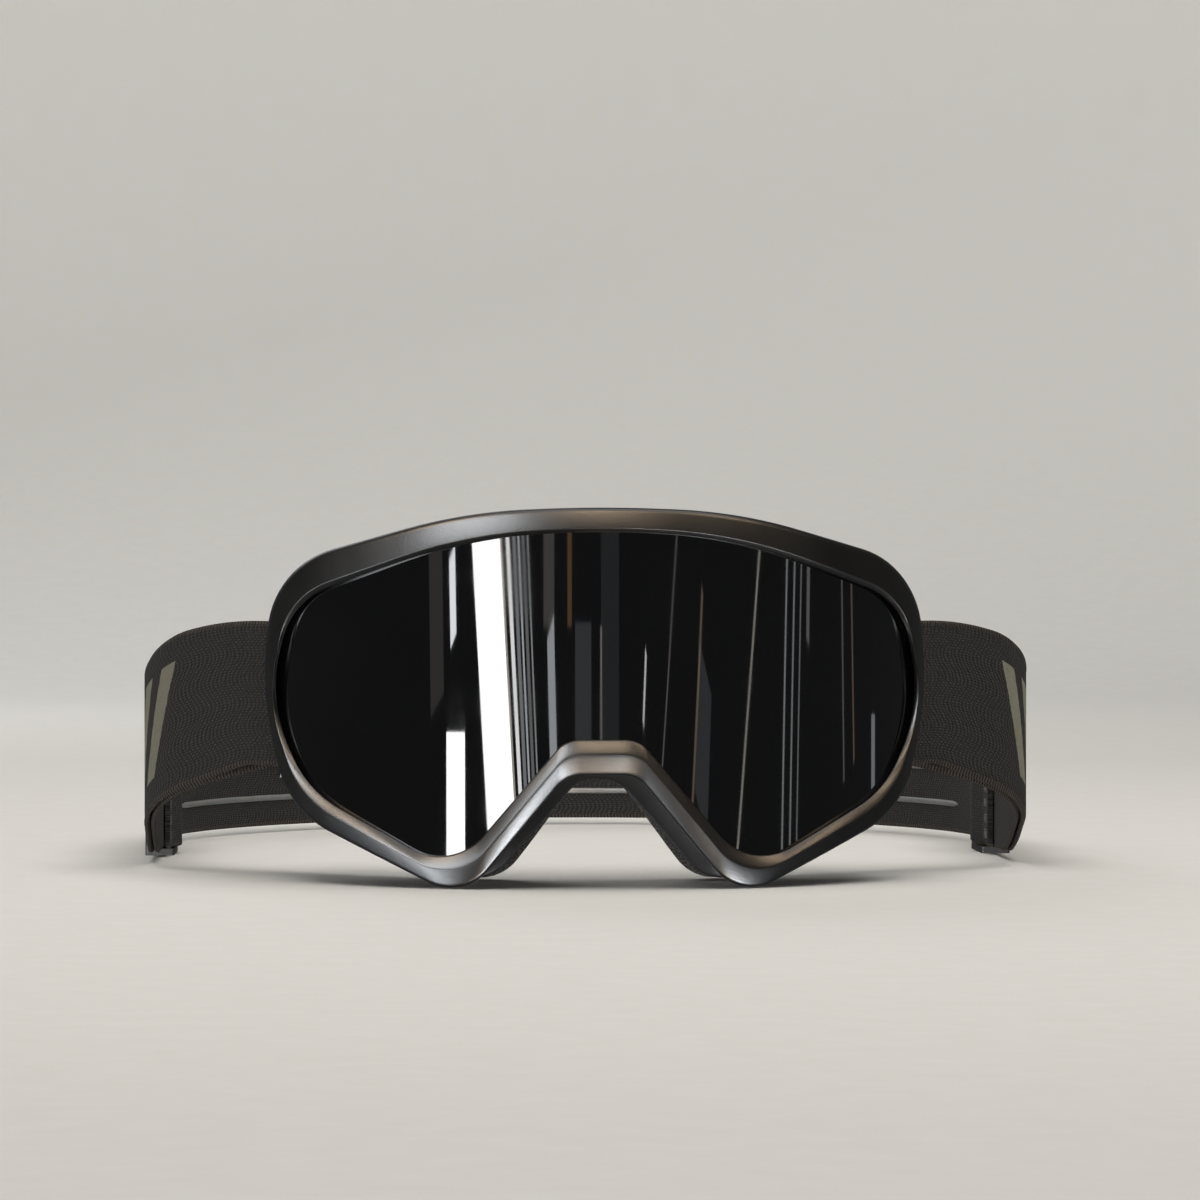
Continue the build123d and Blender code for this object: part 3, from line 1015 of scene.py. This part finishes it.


# %% [markdown]
# The rear stretch slides back when the strap is pulled, and each slider moves along its own
# layer. So a side band doesn't ride on one body, and here it is not attached to any body.

# %% The five bands
bands = {}
for side in ("left", "right"):
    for node, route, body, end_y in (
        ("strap_side_", side_route(), "strap_rear", back_middle.y),
        ("strap_return_", return_route(), side + "_slider", slider_middle.y - tail_length),
    ):
        line = even_route(route, strap_step)
        if side == "right":
            line = [Vector((-p.x, p.y)) for p in line]
        band = swept_band(node.replace("strap", "band") + side, line)
        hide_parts(node + side)
        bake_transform(band)
        bands[band.name] = band
        print(band.name, "length, mm:", round(route_length(line) / mm, 1))

rear_line = arc(back_middle, strap_half_span, 0, math.pi, strap_step)
rear_band = swept_band("band_rear", rear_line)
stands_for(rear_band, "strap_back", "strap_rear")
bands["band_rear"] = rear_band
print("band_rear length, mm:", round(route_length(rear_line) / mm, 1))

# %% [markdown]
# Three silicone lines are printed inside the rear stretch so that it doesn't slip. Each is a
# shallow half-round bead, swept along the band's inner face, and it tapers out at both ends.

# %% Grip beads
grip_width = 1.8 * mm
grip_thickness = 0.6 * mm
grip_pitch = 11.0 * mm
grip_end_angle = math.radians(14)
grip_arc_steps = 6
grip_end_steps = 3
grip_end_share = 0.2


def grip_bead(name, height):
    """A half-round line of silicone on the inside of the rear stretch."""
    inside = strap_half_span - strap_thickness / 2
    line = arc(back_middle, inside, grip_end_angle, math.pi - grip_end_angle, strap_step)
    points = []
    for i, place in enumerate(line):
        inward = (back_middle - place).normalized()
        taper = min(1.0, min(i, len(line) - 1 - i) / grip_end_steps + grip_end_share)
        for k in range(grip_arc_steps + 1):
            angle = math.pi * k / grip_arc_steps
            spot = place + inward * (math.sin(angle) * grip_thickness * taper)
            z = height - math.cos(angle) * grip_width / 2 * taper
            points.append((spot.x, spot.y, z))
    return mesh_piece(name, points, ring_faces(len(line), grip_arc_steps + 1), sharp_angle=50)


beads = []
for level, name in ((-1, "lower"), (0, "middle"), (1, "upper")):
    bead = grip_bead("grip_bead_" + name, back_height + level * grip_pitch)
    stands_for(bead, "strap_grip_" + name, "strap_rear")
    beads.append(bead)
print("grip beads:", len(beads))

# %% [markdown]
# The tail is held by short bars of thread, and each is a small lozenge that swells in the
# middle as thread does. The two sliders keep their solids: a moulded ladder slider is plain
# shapes with rounded edges already.

# %% Stitches
stitch_rows = 3
stitch_pitch = 3.6 * mm
stitch_height = 3.0 * mm
stitch_gap = 1.6 * mm
stitch_width = 0.8 * mm
stitch_thickness = 0.4 * mm
stitch_sides, stitch_rings = 10, 8
stitch_rise_share = 0.9
twist_share = 0.06
twist_turns = 9


def thread_bar(work, sign, x, y, z):
    """One lozenge of thread, added to a bmesh."""
    made = bmesh.ops.create_uvsphere(
        work, u_segments=stitch_sides, v_segments=stitch_rings, radius=1
    )
    for vert in made["verts"]:
        twist = 1 + twist_share * math.sin(vert.co.z * twist_turns)
        vert.co = Vector((
            sign * (x - vert.co.x * stitch_thickness * stitch_rise_share * twist),
            y + vert.co.y * stitch_width / 2 * twist,
            z + vert.co.z * stitch_height / 2,
        ))


def thread_bars(name, side):
    """The bars of thread across one sewn tail."""
    pitch = stitch_height + stitch_gap
    count = int((strap_width - stitch_gap) // pitch)
    x = slider_middle.x - 2 * layer_step - strap_thickness / 2
    work = bmesh.new()
    for row in range(stitch_rows):
        y = slider_middle.y - (tail_length - stitch_pitch) + row * stitch_pitch / 2
        for index in range(count):
            z = back_height + (index - (count - 1) / 2) * pitch
            thread_bar(work, 1 if side == "left" else -1, x, y, z)
    return shaded(added(name, bpy.data.meshes.new(name), work), 60)


threads = []
for side in ("left", "right"):
    thread = thread_bars("thread_bars_" + side, side)
    stands_for(thread, "tail_stitches_" + side, side + "_slider")
    threads.append(thread)
print("sewn tails:", len(threads))

# %% [markdown]
# The finishes come next. A material here is a principled shader with a few texture nodes that
# drive its colour, roughness and bump. Any value that is the same all over is typed on the
# shader itself, so that an export keeps it. Wiring nodes by hand takes many lines, so one small
# class holds a material and makes each usual node in one call.

# %% Helpers for materials
def rgb(red, green, blue):
    """A colour given as a screen shows it, from 0 to 255, as the light values Blender wants."""
    def linear(value):
        value /= 255
        return value / 12.92 if value <= 0.04045 else ((value + 0.055) / 1.055) ** 2.4
    return (linear(red), linear(green), linear(blue), 1)


class Finish:
    """A material with its principled shader, and short ways to wire nodes into it."""

    def __init__(self, name):
        self.material = bpy.data.materials.new(name)
        self.material.use_nodes = True
        self.tree = self.material.node_tree
        self.shader = self.tree.nodes["Principled BSDF"]

    def feed(self, socket, value):
        """Join a socket to another node's output, or give it a fixed value."""
        if isinstance(value, bpy.types.NodeSocket):
            self.tree.links.new(value, socket)
        else:
            socket.default_value = value

    def node(self, kind, **values):
        """A new node with some of its inputs fed."""
        made = self.tree.nodes.new("ShaderNode" + kind)
        for name, value in values.items():
            self.feed(made.inputs[name], value)
        return made

    def place(self):
        """Coordinates in metres on the piece itself."""
        return self.node("TexCoord").outputs["Object"]

    def shade(self, values):
        """Feed the shader's own sockets."""
        for name, value in values.items():
            self.feed(self.shader.inputs[name], value)

    def noise(self, where, scale, detail=3, roughness=0.5):
        """A noise texture on the given coordinates."""
        made = self.node("TexNoise", Vector=where, Scale=scale, Detail=detail, Roughness=roughness)
        return made.outputs["Fac"]

    def ranged(self, value, low, high, to_low=0, to_high=1):
        """A value mapped from one range to another, and kept inside it."""
        made = self.node("MapRange", Value=value)
        sockets = ("From Min", "From Max", "To Min", "To Max")
        for name, number in zip(sockets, (low, high, to_low, to_high)):
            made.inputs[name].default_value = number
        return made.outputs["Result"]

    def maths(self, operation, *values):
        """One sum on values, each a socket or a number."""
        made = self.node("Math")
        made.operation = operation
        for socket, value in zip(made.inputs, values):
            self.feed(socket, value)
        return made.outputs["Value"]

    def plus(self, first, second):
        """The sum of two values."""
        return self.maths("ADD", first, second)

    def minus(self, first, second):
        """The first value less the second."""
        return self.maths("SUBTRACT", first, second)

    def times(self, first, second):
        """The product of two values."""
        return self.maths("MULTIPLY", first, second)

    def mixed(self, share, first, second):
        """Two colours mixed by a share, each a socket or a colour."""
        made = self.node("Mix")
        made.data_type = "RGBA"
        for socket, value in zip((made.inputs[0], *made.inputs[6:8]), (share, first, second)):
            self.feed(socket, value)
        return made.outputs[2]

    def bumped(self, height, distance, strength):
        """Bump from a height value."""
        made = self.node("Bump", Height=height, Distance=distance, Strength=strength)
        self.shade({"Normal": made.outputs["Normal"]})


def dressed(finish, *pieces):
    """Give the pieces this finish alone."""
    for piece in pieces:
        piece.data.materials.clear()
        piece.data.materials.append(finish.material)
        for polygon in piece.data.polygons:
            polygon.material_index = 0


# %% [markdown]
# The moulding is matt black plastic with a very fine spark-eroded grain. It is not quite black:
# light lies on it as a soft grey sheen, a little warm. So the base is a dark warm grey, the
# roughness wanders slightly, and a fine noise gives the grain its bump.

# %% Moulded plastic
patch_scale = 60
grain_scale = 2600
grain_depth = 0.06 * mm


def moulded_plastic(name, colour, worn, roughness):
    """Matt moulded plastic with a fine grain."""
    finish = Finish(name)
    place = finish.place()
    patches = finish.noise(place, patch_scale, 4)
    finish.shade({
        "Base Color": finish.mixed(finish.ranged(patches, 0.35, 0.7), colour, worn),
        "Roughness": finish.ranged(patches, 0.3, 0.7, *roughness),
        "Specular IOR Level": 0.35,
    })
    finish.bumped(finish.noise(place, grain_scale, 2), grain_depth, 0.5)
    return finish


frame_plastic = moulded_plastic("moulded_frame", rgb(10, 10, 9), rgb(14, 13, 12), (0.31, 0.37))
slider_plastic = moulded_plastic("moulded_slider", rgb(26, 26, 26), rgb(32, 32, 31), (0.42, 0.5))
dressed(frame_plastic, moulding)
dressed(slider_plastic, *[frame["nodes"]["slider_" + side] for side in ("left", "right")])
print("frame and sliders dressed")

# %% [markdown]
# The lens is so dark that it reads as black, and all that shows in it is what it reflects. A
# plain dark shader with a very low roughness does that. A faint wide ripple bends the
# reflections as a real formed sheet does.

# %% Dark lens
smear_scale = 40
ripple_scale = 18
ripple_depth = 0.25 * mm


def dark_lens():
    """Near-black glossy polycarbonate."""
    finish = Finish("dark_lens")
    place = finish.place()
    smear = finish.noise(place, smear_scale)
    finish.shade({
        "Base Color": finish.mixed(finish.ranged(smear, 0.4, 0.7), rgb(5, 6, 9), rgb(8, 9, 12)),
        "Roughness": finish.ranged(smear, 0.4, 0.75, 0.015, 0.05),
        "IOR": 1.5,
    })
    finish.bumped(finish.noise(place, ripple_scale, 1), ripple_depth, 0.12)
    return finish


dressed(dark_lens(), outer_pane, inner_pane)
print("panes dressed")

# %% [markdown]
# Foam and fleece are charcoal and drink the light. Open foam shows its pores, which a cell
# texture gives, and the brushed fleece is a finer tangle. The cells also set the colour: the
# low parts of each cell are painted dark, a painted shade in the pores. Both get some sheen on
# their edges, where the nap stands against the light.

# %% Foam and fleece
fluff_share = 1.7


def pores(name, colour, deep, cell_scale, depth, sheen):
    """Open foam or fleece: cells in the bump, and in the colour as painted shade in the pores."""
    finish = Finish(name)
    place = finish.place()
    cells = finish.node("TexVoronoi", Vector=place, Scale=cell_scale)
    fluff = finish.noise(place, cell_scale * fluff_share, 4, 0.7)
    height = finish.times(cells.outputs["Distance"], fluff)
    # The low parts of the cells take the deep colour: painted shade in the pores.
    finish.shade({
        "Base Color": finish.mixed(finish.ranged(height, 0.12, 0.36), deep, colour),
        "Roughness": 0.95,
        "Specular IOR Level": 0.2,
        "Sheen Weight": sheen,
        "Sheen Roughness": 0.5,
        "Sheen Tint": colour,
    })
    finish.bumped(height, depth, 0.8)
    return finish


# The second colour of each is the painted shade in the pores.
open_foam = pores("open_foam", rgb(112, 109, 102), rgb(30, 30, 29), 1500, 0.5 * mm, 0.3)
firm_foam = pores("firm_foam", rgb(104, 101, 95), rgb(30, 30, 29), 1900, 0.3 * mm, 0.3)
fleece = pores("brushed_fleece", rgb(96, 93, 87), rgb(38, 37, 35), 2400, 0.35 * mm, 0.5)
seal_foam = pores("spacer_foam", rgb(34, 34, 33), rgb(18, 18, 18), 2400, 0.1 * mm, 0.1)
dressed(seal_foam, spacer)
for name, pad in pads.items():
    dressed({"pad_base": firm_foam, "pad_fleece": fleece}.get(name, open_foam), pad)
print("pads dressed:", sorted(pads))

# %% [markdown]
# The knit is what a close look at the strap shows: rows of short slanting stitches along the
# band, each row shifted against the next, dark charcoal, and a paler rolled selvage at both
# edges. The tops of the stitches and of the selvage's teeth are painted paler, a painted
# highlight, and the gaps between them darker, a painted shade, by the same height that gives the
# bump. All of it is worked out from the UV map in metres. The row number is the place across
# divided by the row height, and a wave along the length, shifted from row to row, gives the
# single stitches.

# %% Stitches of the knit
row_height = 0.72 * mm
stitch_length = 1.5 * mm
stitch_slant_share = 0.35
row_shift_share = 1.3
row_shift_turn = 12.9


def stitches(finish, along, across):
    """How high the knit stands at a place along the band and across it."""
    rows = finish.maths("DIVIDE", across, row_height)
    row = finish.maths("FLOOR", rows)
    in_row = finish.minus(rows, row)
    slant = finish.times(in_row, stitch_slant_share)
    row_shift = finish.maths("SINE", finish.times(row, row_shift_turn))
    shift = finish.plus(finish.times(row_shift, row_shift_share), slant)
    steps = finish.plus(finish.maths("DIVIDE", along, stitch_length), shift)
    wave = finish.maths("SINE", finish.times(steps, 2 * math.pi))
    bead = finish.maths("SINE", finish.times(in_row, math.pi))
    return finish.times(finish.ranged(wave, -0.6, 0.9, 0.15, 1), bead)


# %% [markdown]
# The side bands carry four pale slanting bars, printed on the knit. A mask says where ink
# lies: it is a product of plain tests, each 1 or 0, and a little noise breaks its edge.

# %% Mask of the printed bars
print_start = 62.0 * mm
print_pitch = 13.0 * mm
print_bar = 7.0 * mm
print_count = 4
print_margin = 7.0 * mm
print_lean_share = 0.45
print_raggedness = 1.2 * mm


def print_mask(finish, along, across, from_middle, wander):
    """One where the plain slanting bars are printed, with a slightly broken edge."""
    lean = finish.times(across, print_lean_share)
    ragged = finish.times(wander, print_raggedness)
    place = finish.plus(along, finish.plus(lean, ragged))
    start = finish.minus(place, print_start)
    turn = finish.maths("DIVIDE", start, print_pitch)
    part = finish.times(finish.maths("FRACT", turn), print_pitch)
    mask = finish.maths("LESS_THAN", part, print_bar)
    for operation, value, limit in (
        ("GREATER_THAN", start, 0),
        ("LESS_THAN", turn, print_count),
        ("LESS_THAN", from_middle, strap_width / 2 - print_margin),
    ):
        mask = finish.times(mask, finish.maths(operation, value, limit))
    return mask


# %% [markdown]
# The whole cloth puts these together: the stitches with their painted highlight and shade,
# darkened and roughened by a fine fuzz, the toothed selvage over them at both edges, shaded the
# same way, and the ink on top where there is any.

# %% Knitted elastic
selvage = 1.5 * mm
selvage_blend_share = 0.6
selvage_tooth = 1.1 * mm
wander_scale = 420
fuzz_scale = 5200
knit_depth = 0.22 * mm


def knit(name, printed):
    """Charcoal knitted elastic, with or without the printed bars."""
    finish = Finish(name)
    strap_map = finish.node("UVMap")
    strap_map.uv_map = "strap"
    uv = strap_map.outputs["UV"]
    split = finish.node("SeparateXYZ", Vector=uv).outputs
    wander = finish.minus(finish.noise(uv, wander_scale), 0.5)
    wobble = finish.times(wander, 2 * row_height)
    along = finish.plus(split["X"], wobble)
    stitch = stitches(finish, along, finish.plus(split["Y"], finish.times(wobble, 0.5)))
    fuzz = finish.noise(uv, fuzz_scale, 3, 0.7)
    # Stitch tops are painted paler, a painted highlight, and the gaps darker, a painted shade.
    stitch_shading_and_fuzz = finish.times(stitch, finish.ranged(fuzz, 0.3, 0.75, 0.55, 1.1))
    colour = finish.mixed(stitch_shading_and_fuzz, rgb(43, 42, 42), rgb(88, 86, 84))

    half = strap_width / 2
    from_middle = finish.maths("ABSOLUTE", finish.minus(split["Y"], half))
    edge = finish.ranged(from_middle, half - selvage, half - selvage * selvage_blend_share)
    teeth = finish.maths("SINE", finish.times(split["X"], 2 * math.pi / selvage_tooth))
    # The teeth are painted paler on top and darker between: painted highlight and shade.
    edge_tone = finish.ranged(teeth, -0.8, 0.8)
    edge_colour = finish.mixed(edge_tone, rgb(46, 42, 39), rgb(92, 85, 78))
    colour = finish.mixed(edge, colour, edge_colour)
    if printed:
        mask = print_mask(finish, split["X"], split["Y"], from_middle, wander)
        colour = finish.mixed(mask, colour, rgb(150, 148, 132))
    finish.shade({
        "Base Color": colour,
        "Roughness": 0.9,
        "Specular IOR Level": 0.05,
        "Sheen Weight": 0.03,
        "Sheen Roughness": 0.45,
    })
    height = finish.plus(stitch, finish.times(fuzz, 0.35))
    height = finish.plus(height, finish.times(edge, finish.times(edge_tone, 0.8)))
    finish.bumped(height, knit_depth, 0.9)
    return finish


plain_knit, printed_knit = knit("knitted_elastic", False), knit("knitted_elastic_printed", True)
for name, band in bands.items():
    dressed(printed_knit if name.startswith("band_side") else plain_knit, band)
print("bands dressed:", sorted(bands))

# %% [markdown]
# Silicone is milky and a little see-through, and thread is a tight black twist, which slanting
# waves in its bump give. The same waves set its colour: paler on the raised plies, a painted
# highlight, and darker in the grooves, a painted shade.

# %% Silicone and thread
cloud_scale = 300
ply_scale = 420
ply_depth = 0.08 * mm


def silicone():
    """Milky rubber beads."""
    finish = Finish("grip_silicone")
    place = finish.place()
    cloud = finish.noise(place, cloud_scale)
    finish.shade({
        "Base Color": finish.mixed(cloud, rgb(120, 122, 122), rgb(146, 147, 145)),
        "Roughness": finish.ranged(cloud, 0.3, 0.7, 0.28, 0.42),
        "Subsurface Weight": 0.2,
        "Subsurface Scale": 0.5 * mm,
    })
    return finish


def sewing_thread():
    """Twisted thread, with painted highlight on the plies and painted shade between them."""
    finish = Finish("sewing_thread")
    place = finish.place()
    plies = finish.node("TexWave", Vector=place, Scale=ply_scale, Distortion=1.5)
    plies.bands_direction = "DIAGONAL"
    twist = plies.outputs["Fac"]
    # The twist sets the colour: painted highlight on the plies, painted shade in the grooves.
    finish.shade({
        "Base Color": finish.mixed(twist, rgb(20, 20, 20), rgb(52, 50, 48)),
        "Roughness": 0.7,
    })
    finish.bumped(twist, ply_depth, 0.8)
    return finish


dressed(silicone(), *beads)
dressed(sewing_thread(), *threads)
print("beads and threads dressed")

# %% [markdown]
# The picture wants a plain pale floor that runs up into a backdrop, and soft light. The floor
# and the back are one sheet with a wide curve between them, so no corner line shows. Far from
# the goggles the lamps hardly reach it, so there the paper shines a little by itself, for the
# eye alone: it lights nothing, and the floor near the goggles keeps their shadow.

# %% Floor and backdrop
floor_half = 8.0
backdrop_start = 1.6
backdrop_radius = 0.9
backdrop_height = 3.0
backdrop_steps = 16
tooth_scale = 90
shine_reach = (0.7, 3.2)
far_shine = 0.62


def backdrop():
    """A floor that curves up into a wall."""
    line = [(-floor_half, 0.0), (backdrop_start, 0.0)]
    for k in range(1, backdrop_steps + 1):
        angle = math.pi / 2 * k / backdrop_steps
        line.append((
            backdrop_start + backdrop_radius * math.sin(angle),
            backdrop_radius * (1 - math.cos(angle)),
        ))
    line.append((backdrop_start + backdrop_radius, backdrop_height))
    points = [(x, y, z) for y, z in line for x in (-floor_half, floor_half)]
    faces = [(2 * k, 2 * k + 1, 2 * k + 3, 2 * k + 2) for k in range(len(line) - 1)]
    return mesh_piece("backdrop", points, faces, 60)


def studio_paper():
    """Pale paper with a hint of tooth."""
    finish = Finish("studio_paper")
    place = finish.place()
    tooth = finish.noise(place, tooth_scale, 4)
    colour = finish.mixed(tooth, rgb(222, 219, 213), rgb(228, 226, 221))
    far = finish.node("VectorMath")
    far.operation = "LENGTH"
    finish.feed(far.inputs[0], place)
    rays = finish.node("LightPath").outputs
    seen = finish.maths("MAXIMUM", rays["Is Camera Ray"], rays["Is Glossy Ray"])
    seen = finish.maths("MAXIMUM", seen, rays["Is Transmission Ray"])
    shine = finish.ranged(far.outputs["Value"], *shine_reach, 0, far_shine)
    finish.shade({
        "Base Color": colour,
        "Roughness": 0.9,
        "Specular IOR Level": 0,
        "Emission Color": colour,
        "Emission Strength": finish.times(shine, seen),
    })
    return finish


stage_sheet = backdrop()
dressed(studio_paper(), stage_sheet)
print("backdrop faces:", len(stage_sheet.data.polygons))

# %% [markdown]
# Two broad lamps and a pale surround light the goggles evenly. They are soft, they set the plain
# level at which a colour looks as it is written, and none is in the camera's sight.

# %% Soft lamps
air_strength = 0.11
# Name, place, size, power and colour. Both point at the origin.
soft_lamps = [
    ("overhead", (0.1, -0.35, 1.5), (1.6, 1.2), 21, (1, 0.98, 0.95)),
    ("back_fill", (-0.6, 1.3, 1.1), (1.2, 1.0), 8, (0.97, 0.98, 1)),
]


def lamp(name, place, aim, size, power, colour):
    """A rectangular soft lamp that points at a place."""
    light = bpy.data.lights.new(name, "AREA")
    light.shape = "RECTANGLE"
    light.size, light.size_y = size
    light.energy = power
    light.color = colour
    obj = bpy.data.objects.new(name, light)
    obj.location = place
    obj.rotation_euler = (Vector(aim) - Vector(place)).to_track_quat("-Z", "Y").to_euler()
    obj.visible_camera = False
    bpy.context.scene.collection.objects.link(obj)
    return obj


def studio_air(strength):
    """A plain pale surround."""
    world = bpy.data.worlds.new("studio_air")
    bpy.context.scene.world = world
    world.use_nodes = True
    ground = world.node_tree.nodes["Background"]
    ground.inputs["Color"].default_value = (1, 1, 1, 1)
    ground.inputs["Strength"].default_value = strength


for name, place, size, power, colour in soft_lamps:
    lamp(name, place, (0, 0, 0), size, power, colour)
studio_air(air_strength)
print("soft lamps:", len(soft_lamps))

# %% [markdown]
# A black gloss surface looks like what stands round it. In the photograph that is mostly dark,
# with a broad bright patch on one side and thin bright edges on the other. So the floor is kept
# out of reflections, and upright panels stand on a circle in front of the lens, each at the
# azimuth where the lens shows it. They light nothing but reflections, and some reach below the
# floor, because a facet that tilts down mirrors what lies lower. Each is given the brightness
# that it has in itself, and its power follows from that and its area.

# %% Panels for the reflections
panel_distance = 1.3
focus_share = 0.5
cool, plain, warm, sand = (0.92, 0.96, 1), (1, 1, 1), (1, 0.93, 0.84), (1, 0.75, 0.51)
amber = (1, 0.55, 0.25)

# Seen in the lens: azimuth, width, lowest, highest, brightness, colour, lean.
lens_panels = [
    (-28.2, 8.0, -0.208, 0.252, 26, plain, 34),
    (-23.6, 1.2, -0.168, 0.172, 6, warm, 34),
    (-21.6, 1.0, -0.168, 0.172, 16, plain, 32),
    (-20.0, 0.9, -0.168, 0.172, 3.5, cool, 30),
    (-18.8, 0.5, -0.168, 0.172, 8, cool, 29),
    (-17.6, 0.8, -0.168, 0.172, 2.4, plain, 28),
    (-16.4, 0.4, -0.168, 0.172, 5, cool, 27),
    (-11.0, 2.0, -0.128, 0.052, 6, cool, 16),
    (-12.6, 3.0, 0.052, 0.132, 0.9, warm, 0),
    (-6.8, 1.2, 0.052, 0.132, 1.3, amber, 0),
    (-3.0, 4.5, -0.018, 0.054, 0.6, cool, 0),
    (2.0, 0.5, -0.018, 0.052, 2.4, warm, 0),
    (4.5, 5.0, -0.128, 0.132, 0.25, cool, 0),
    (14.2, 0.5, 0.002, 0.040, 9, plain, -24),
    (20.0, 0.4, -0.148, 0.152, 1.5, warm, -38),
    (29.0, 0.6, -0.068, 0.072, 1.8, sand, -30),
    (31.0, 4.0, -0.048, 0.032, 0.5, cool, -20),
    (44.0, 0.6, -0.168, 0.172, 3.6, warm, -44),
    (55.7, 0.5, -0.128, 0.152, 3.4, cool, -14),
    (58.2, 0.5, -0.128, 0.152, 3.0, cool, -14),
    (60.4, 0.4, -0.128, 0.152, 2.2, plain, -14),
    (63.6, 1.0, 0.045, 0.132, 1.6, plain, -8),
    (75.3, 0.5, -0.028, 0.132, 1.2, plain, 10),
    (78.8, 0.5, -0.018, 0.132, 1.4, sand, 14),
    (87.0, 1.4, -0.038, 0.007, 2.4, cool, 0),
    (-39.2, 5.4, -0.128, -0.002, 30, plain, 0),
    (-40.0, 1.8, 0.045, 0.092, 18, cool, 12),
    (-45.0, 4.0, 0.012, 0.132, 0.5, warm, 8),
]
# Seen as a sheen on the moulding's facets, with the same columns but no lean.
sheen_panels = [
    (-40.0, 24.0, 0.48, 1.05, 40, cool),
    (3.0, 22.0, 0.90, 1.60, 29, sand),
    (-57.0, 20.0, 0.95, 1.60, 30, sand),
    (50.0, 18.0, 1.05, 1.60, 26, sand),
    (-55.0, 22.0, -1.05, -0.26, 32, cool),
    (29.0, 16.0, -1.35, -0.92, 165, cool),
    (4.5, 11.0, -1.75, -1.12, 60, sand),
]


def panel(name, azimuth, width, low, high, glow, colour, lean=0):
    """A panel seen only in reflections; azimuth, width and lean in degrees from the lens."""
    turn, tilt = math.radians(azimuth), math.radians(lean)
    across = 2 * panel_distance * math.tan(math.radians(width) / 2) * math.cos(tilt)
    length = (high - low) / math.cos(tilt)
    aim = Vector((0, bezel_axis - bezel_radius * focus_share, (low + high) / 2))
    place = aim + Vector((math.sin(turn), -math.cos(turn), 0)) * panel_distance
    power = math.pi * across * length * glow
    made = lamp(name, place, aim, (across, length), power, colour)
    made.rotation_euler.rotate_axis("Z", tilt)
    made.visible_diffuse = False


stage_sheet.visible_glossy = False
stage_sheet.visible_shadow = False
for row in lens_panels:
    panel("lens_light", *row)
for row in sheen_panels:
    panel("sheen_light", *row)
print("panels for the lens:", len(lens_panels), "and for the moulding:", len(sheen_panels))

# %% [markdown]
# The camera stands almost straight in front, a little to the wearer's right and hardly above the
# level of its aim, at arm's length and more. Its aim is set so that the frame falls on the same
# place as in the photograph, and its lens is as long as the frame's width there asks for.

# %% Camera
camera_azimuth = math.radians(-2.5)
camera_elevation = math.radians(0.5)
camera_distance = 1.3
focal_length = 146.5
sensor_width = 36
aim_across = -0.0008
aim_up = 0.0775

camera_data = bpy.data.cameras.new("camera")
camera_data.sensor_width = sensor_width
camera_data.lens = focal_length
camera_data.dof.use_dof = False
camera = bpy.data.objects.new("camera", camera_data)
bpy.context.scene.collection.objects.link(camera)
target = Vector((aim_across, front, aim_up))
back = Vector((
    math.sin(camera_azimuth) * math.cos(camera_elevation),
    -math.cos(camera_azimuth) * math.cos(camera_elevation),
    math.sin(camera_elevation),
))
camera.location = target + back * camera_distance
camera.rotation_euler = (-back).to_track_quat("-Z", "Y").to_euler()
bpy.context.scene.camera = camera
bpy.context.scene.view_settings.view_transform = "Standard"
print("camera at", [round(c, 3) for c in camera.location])
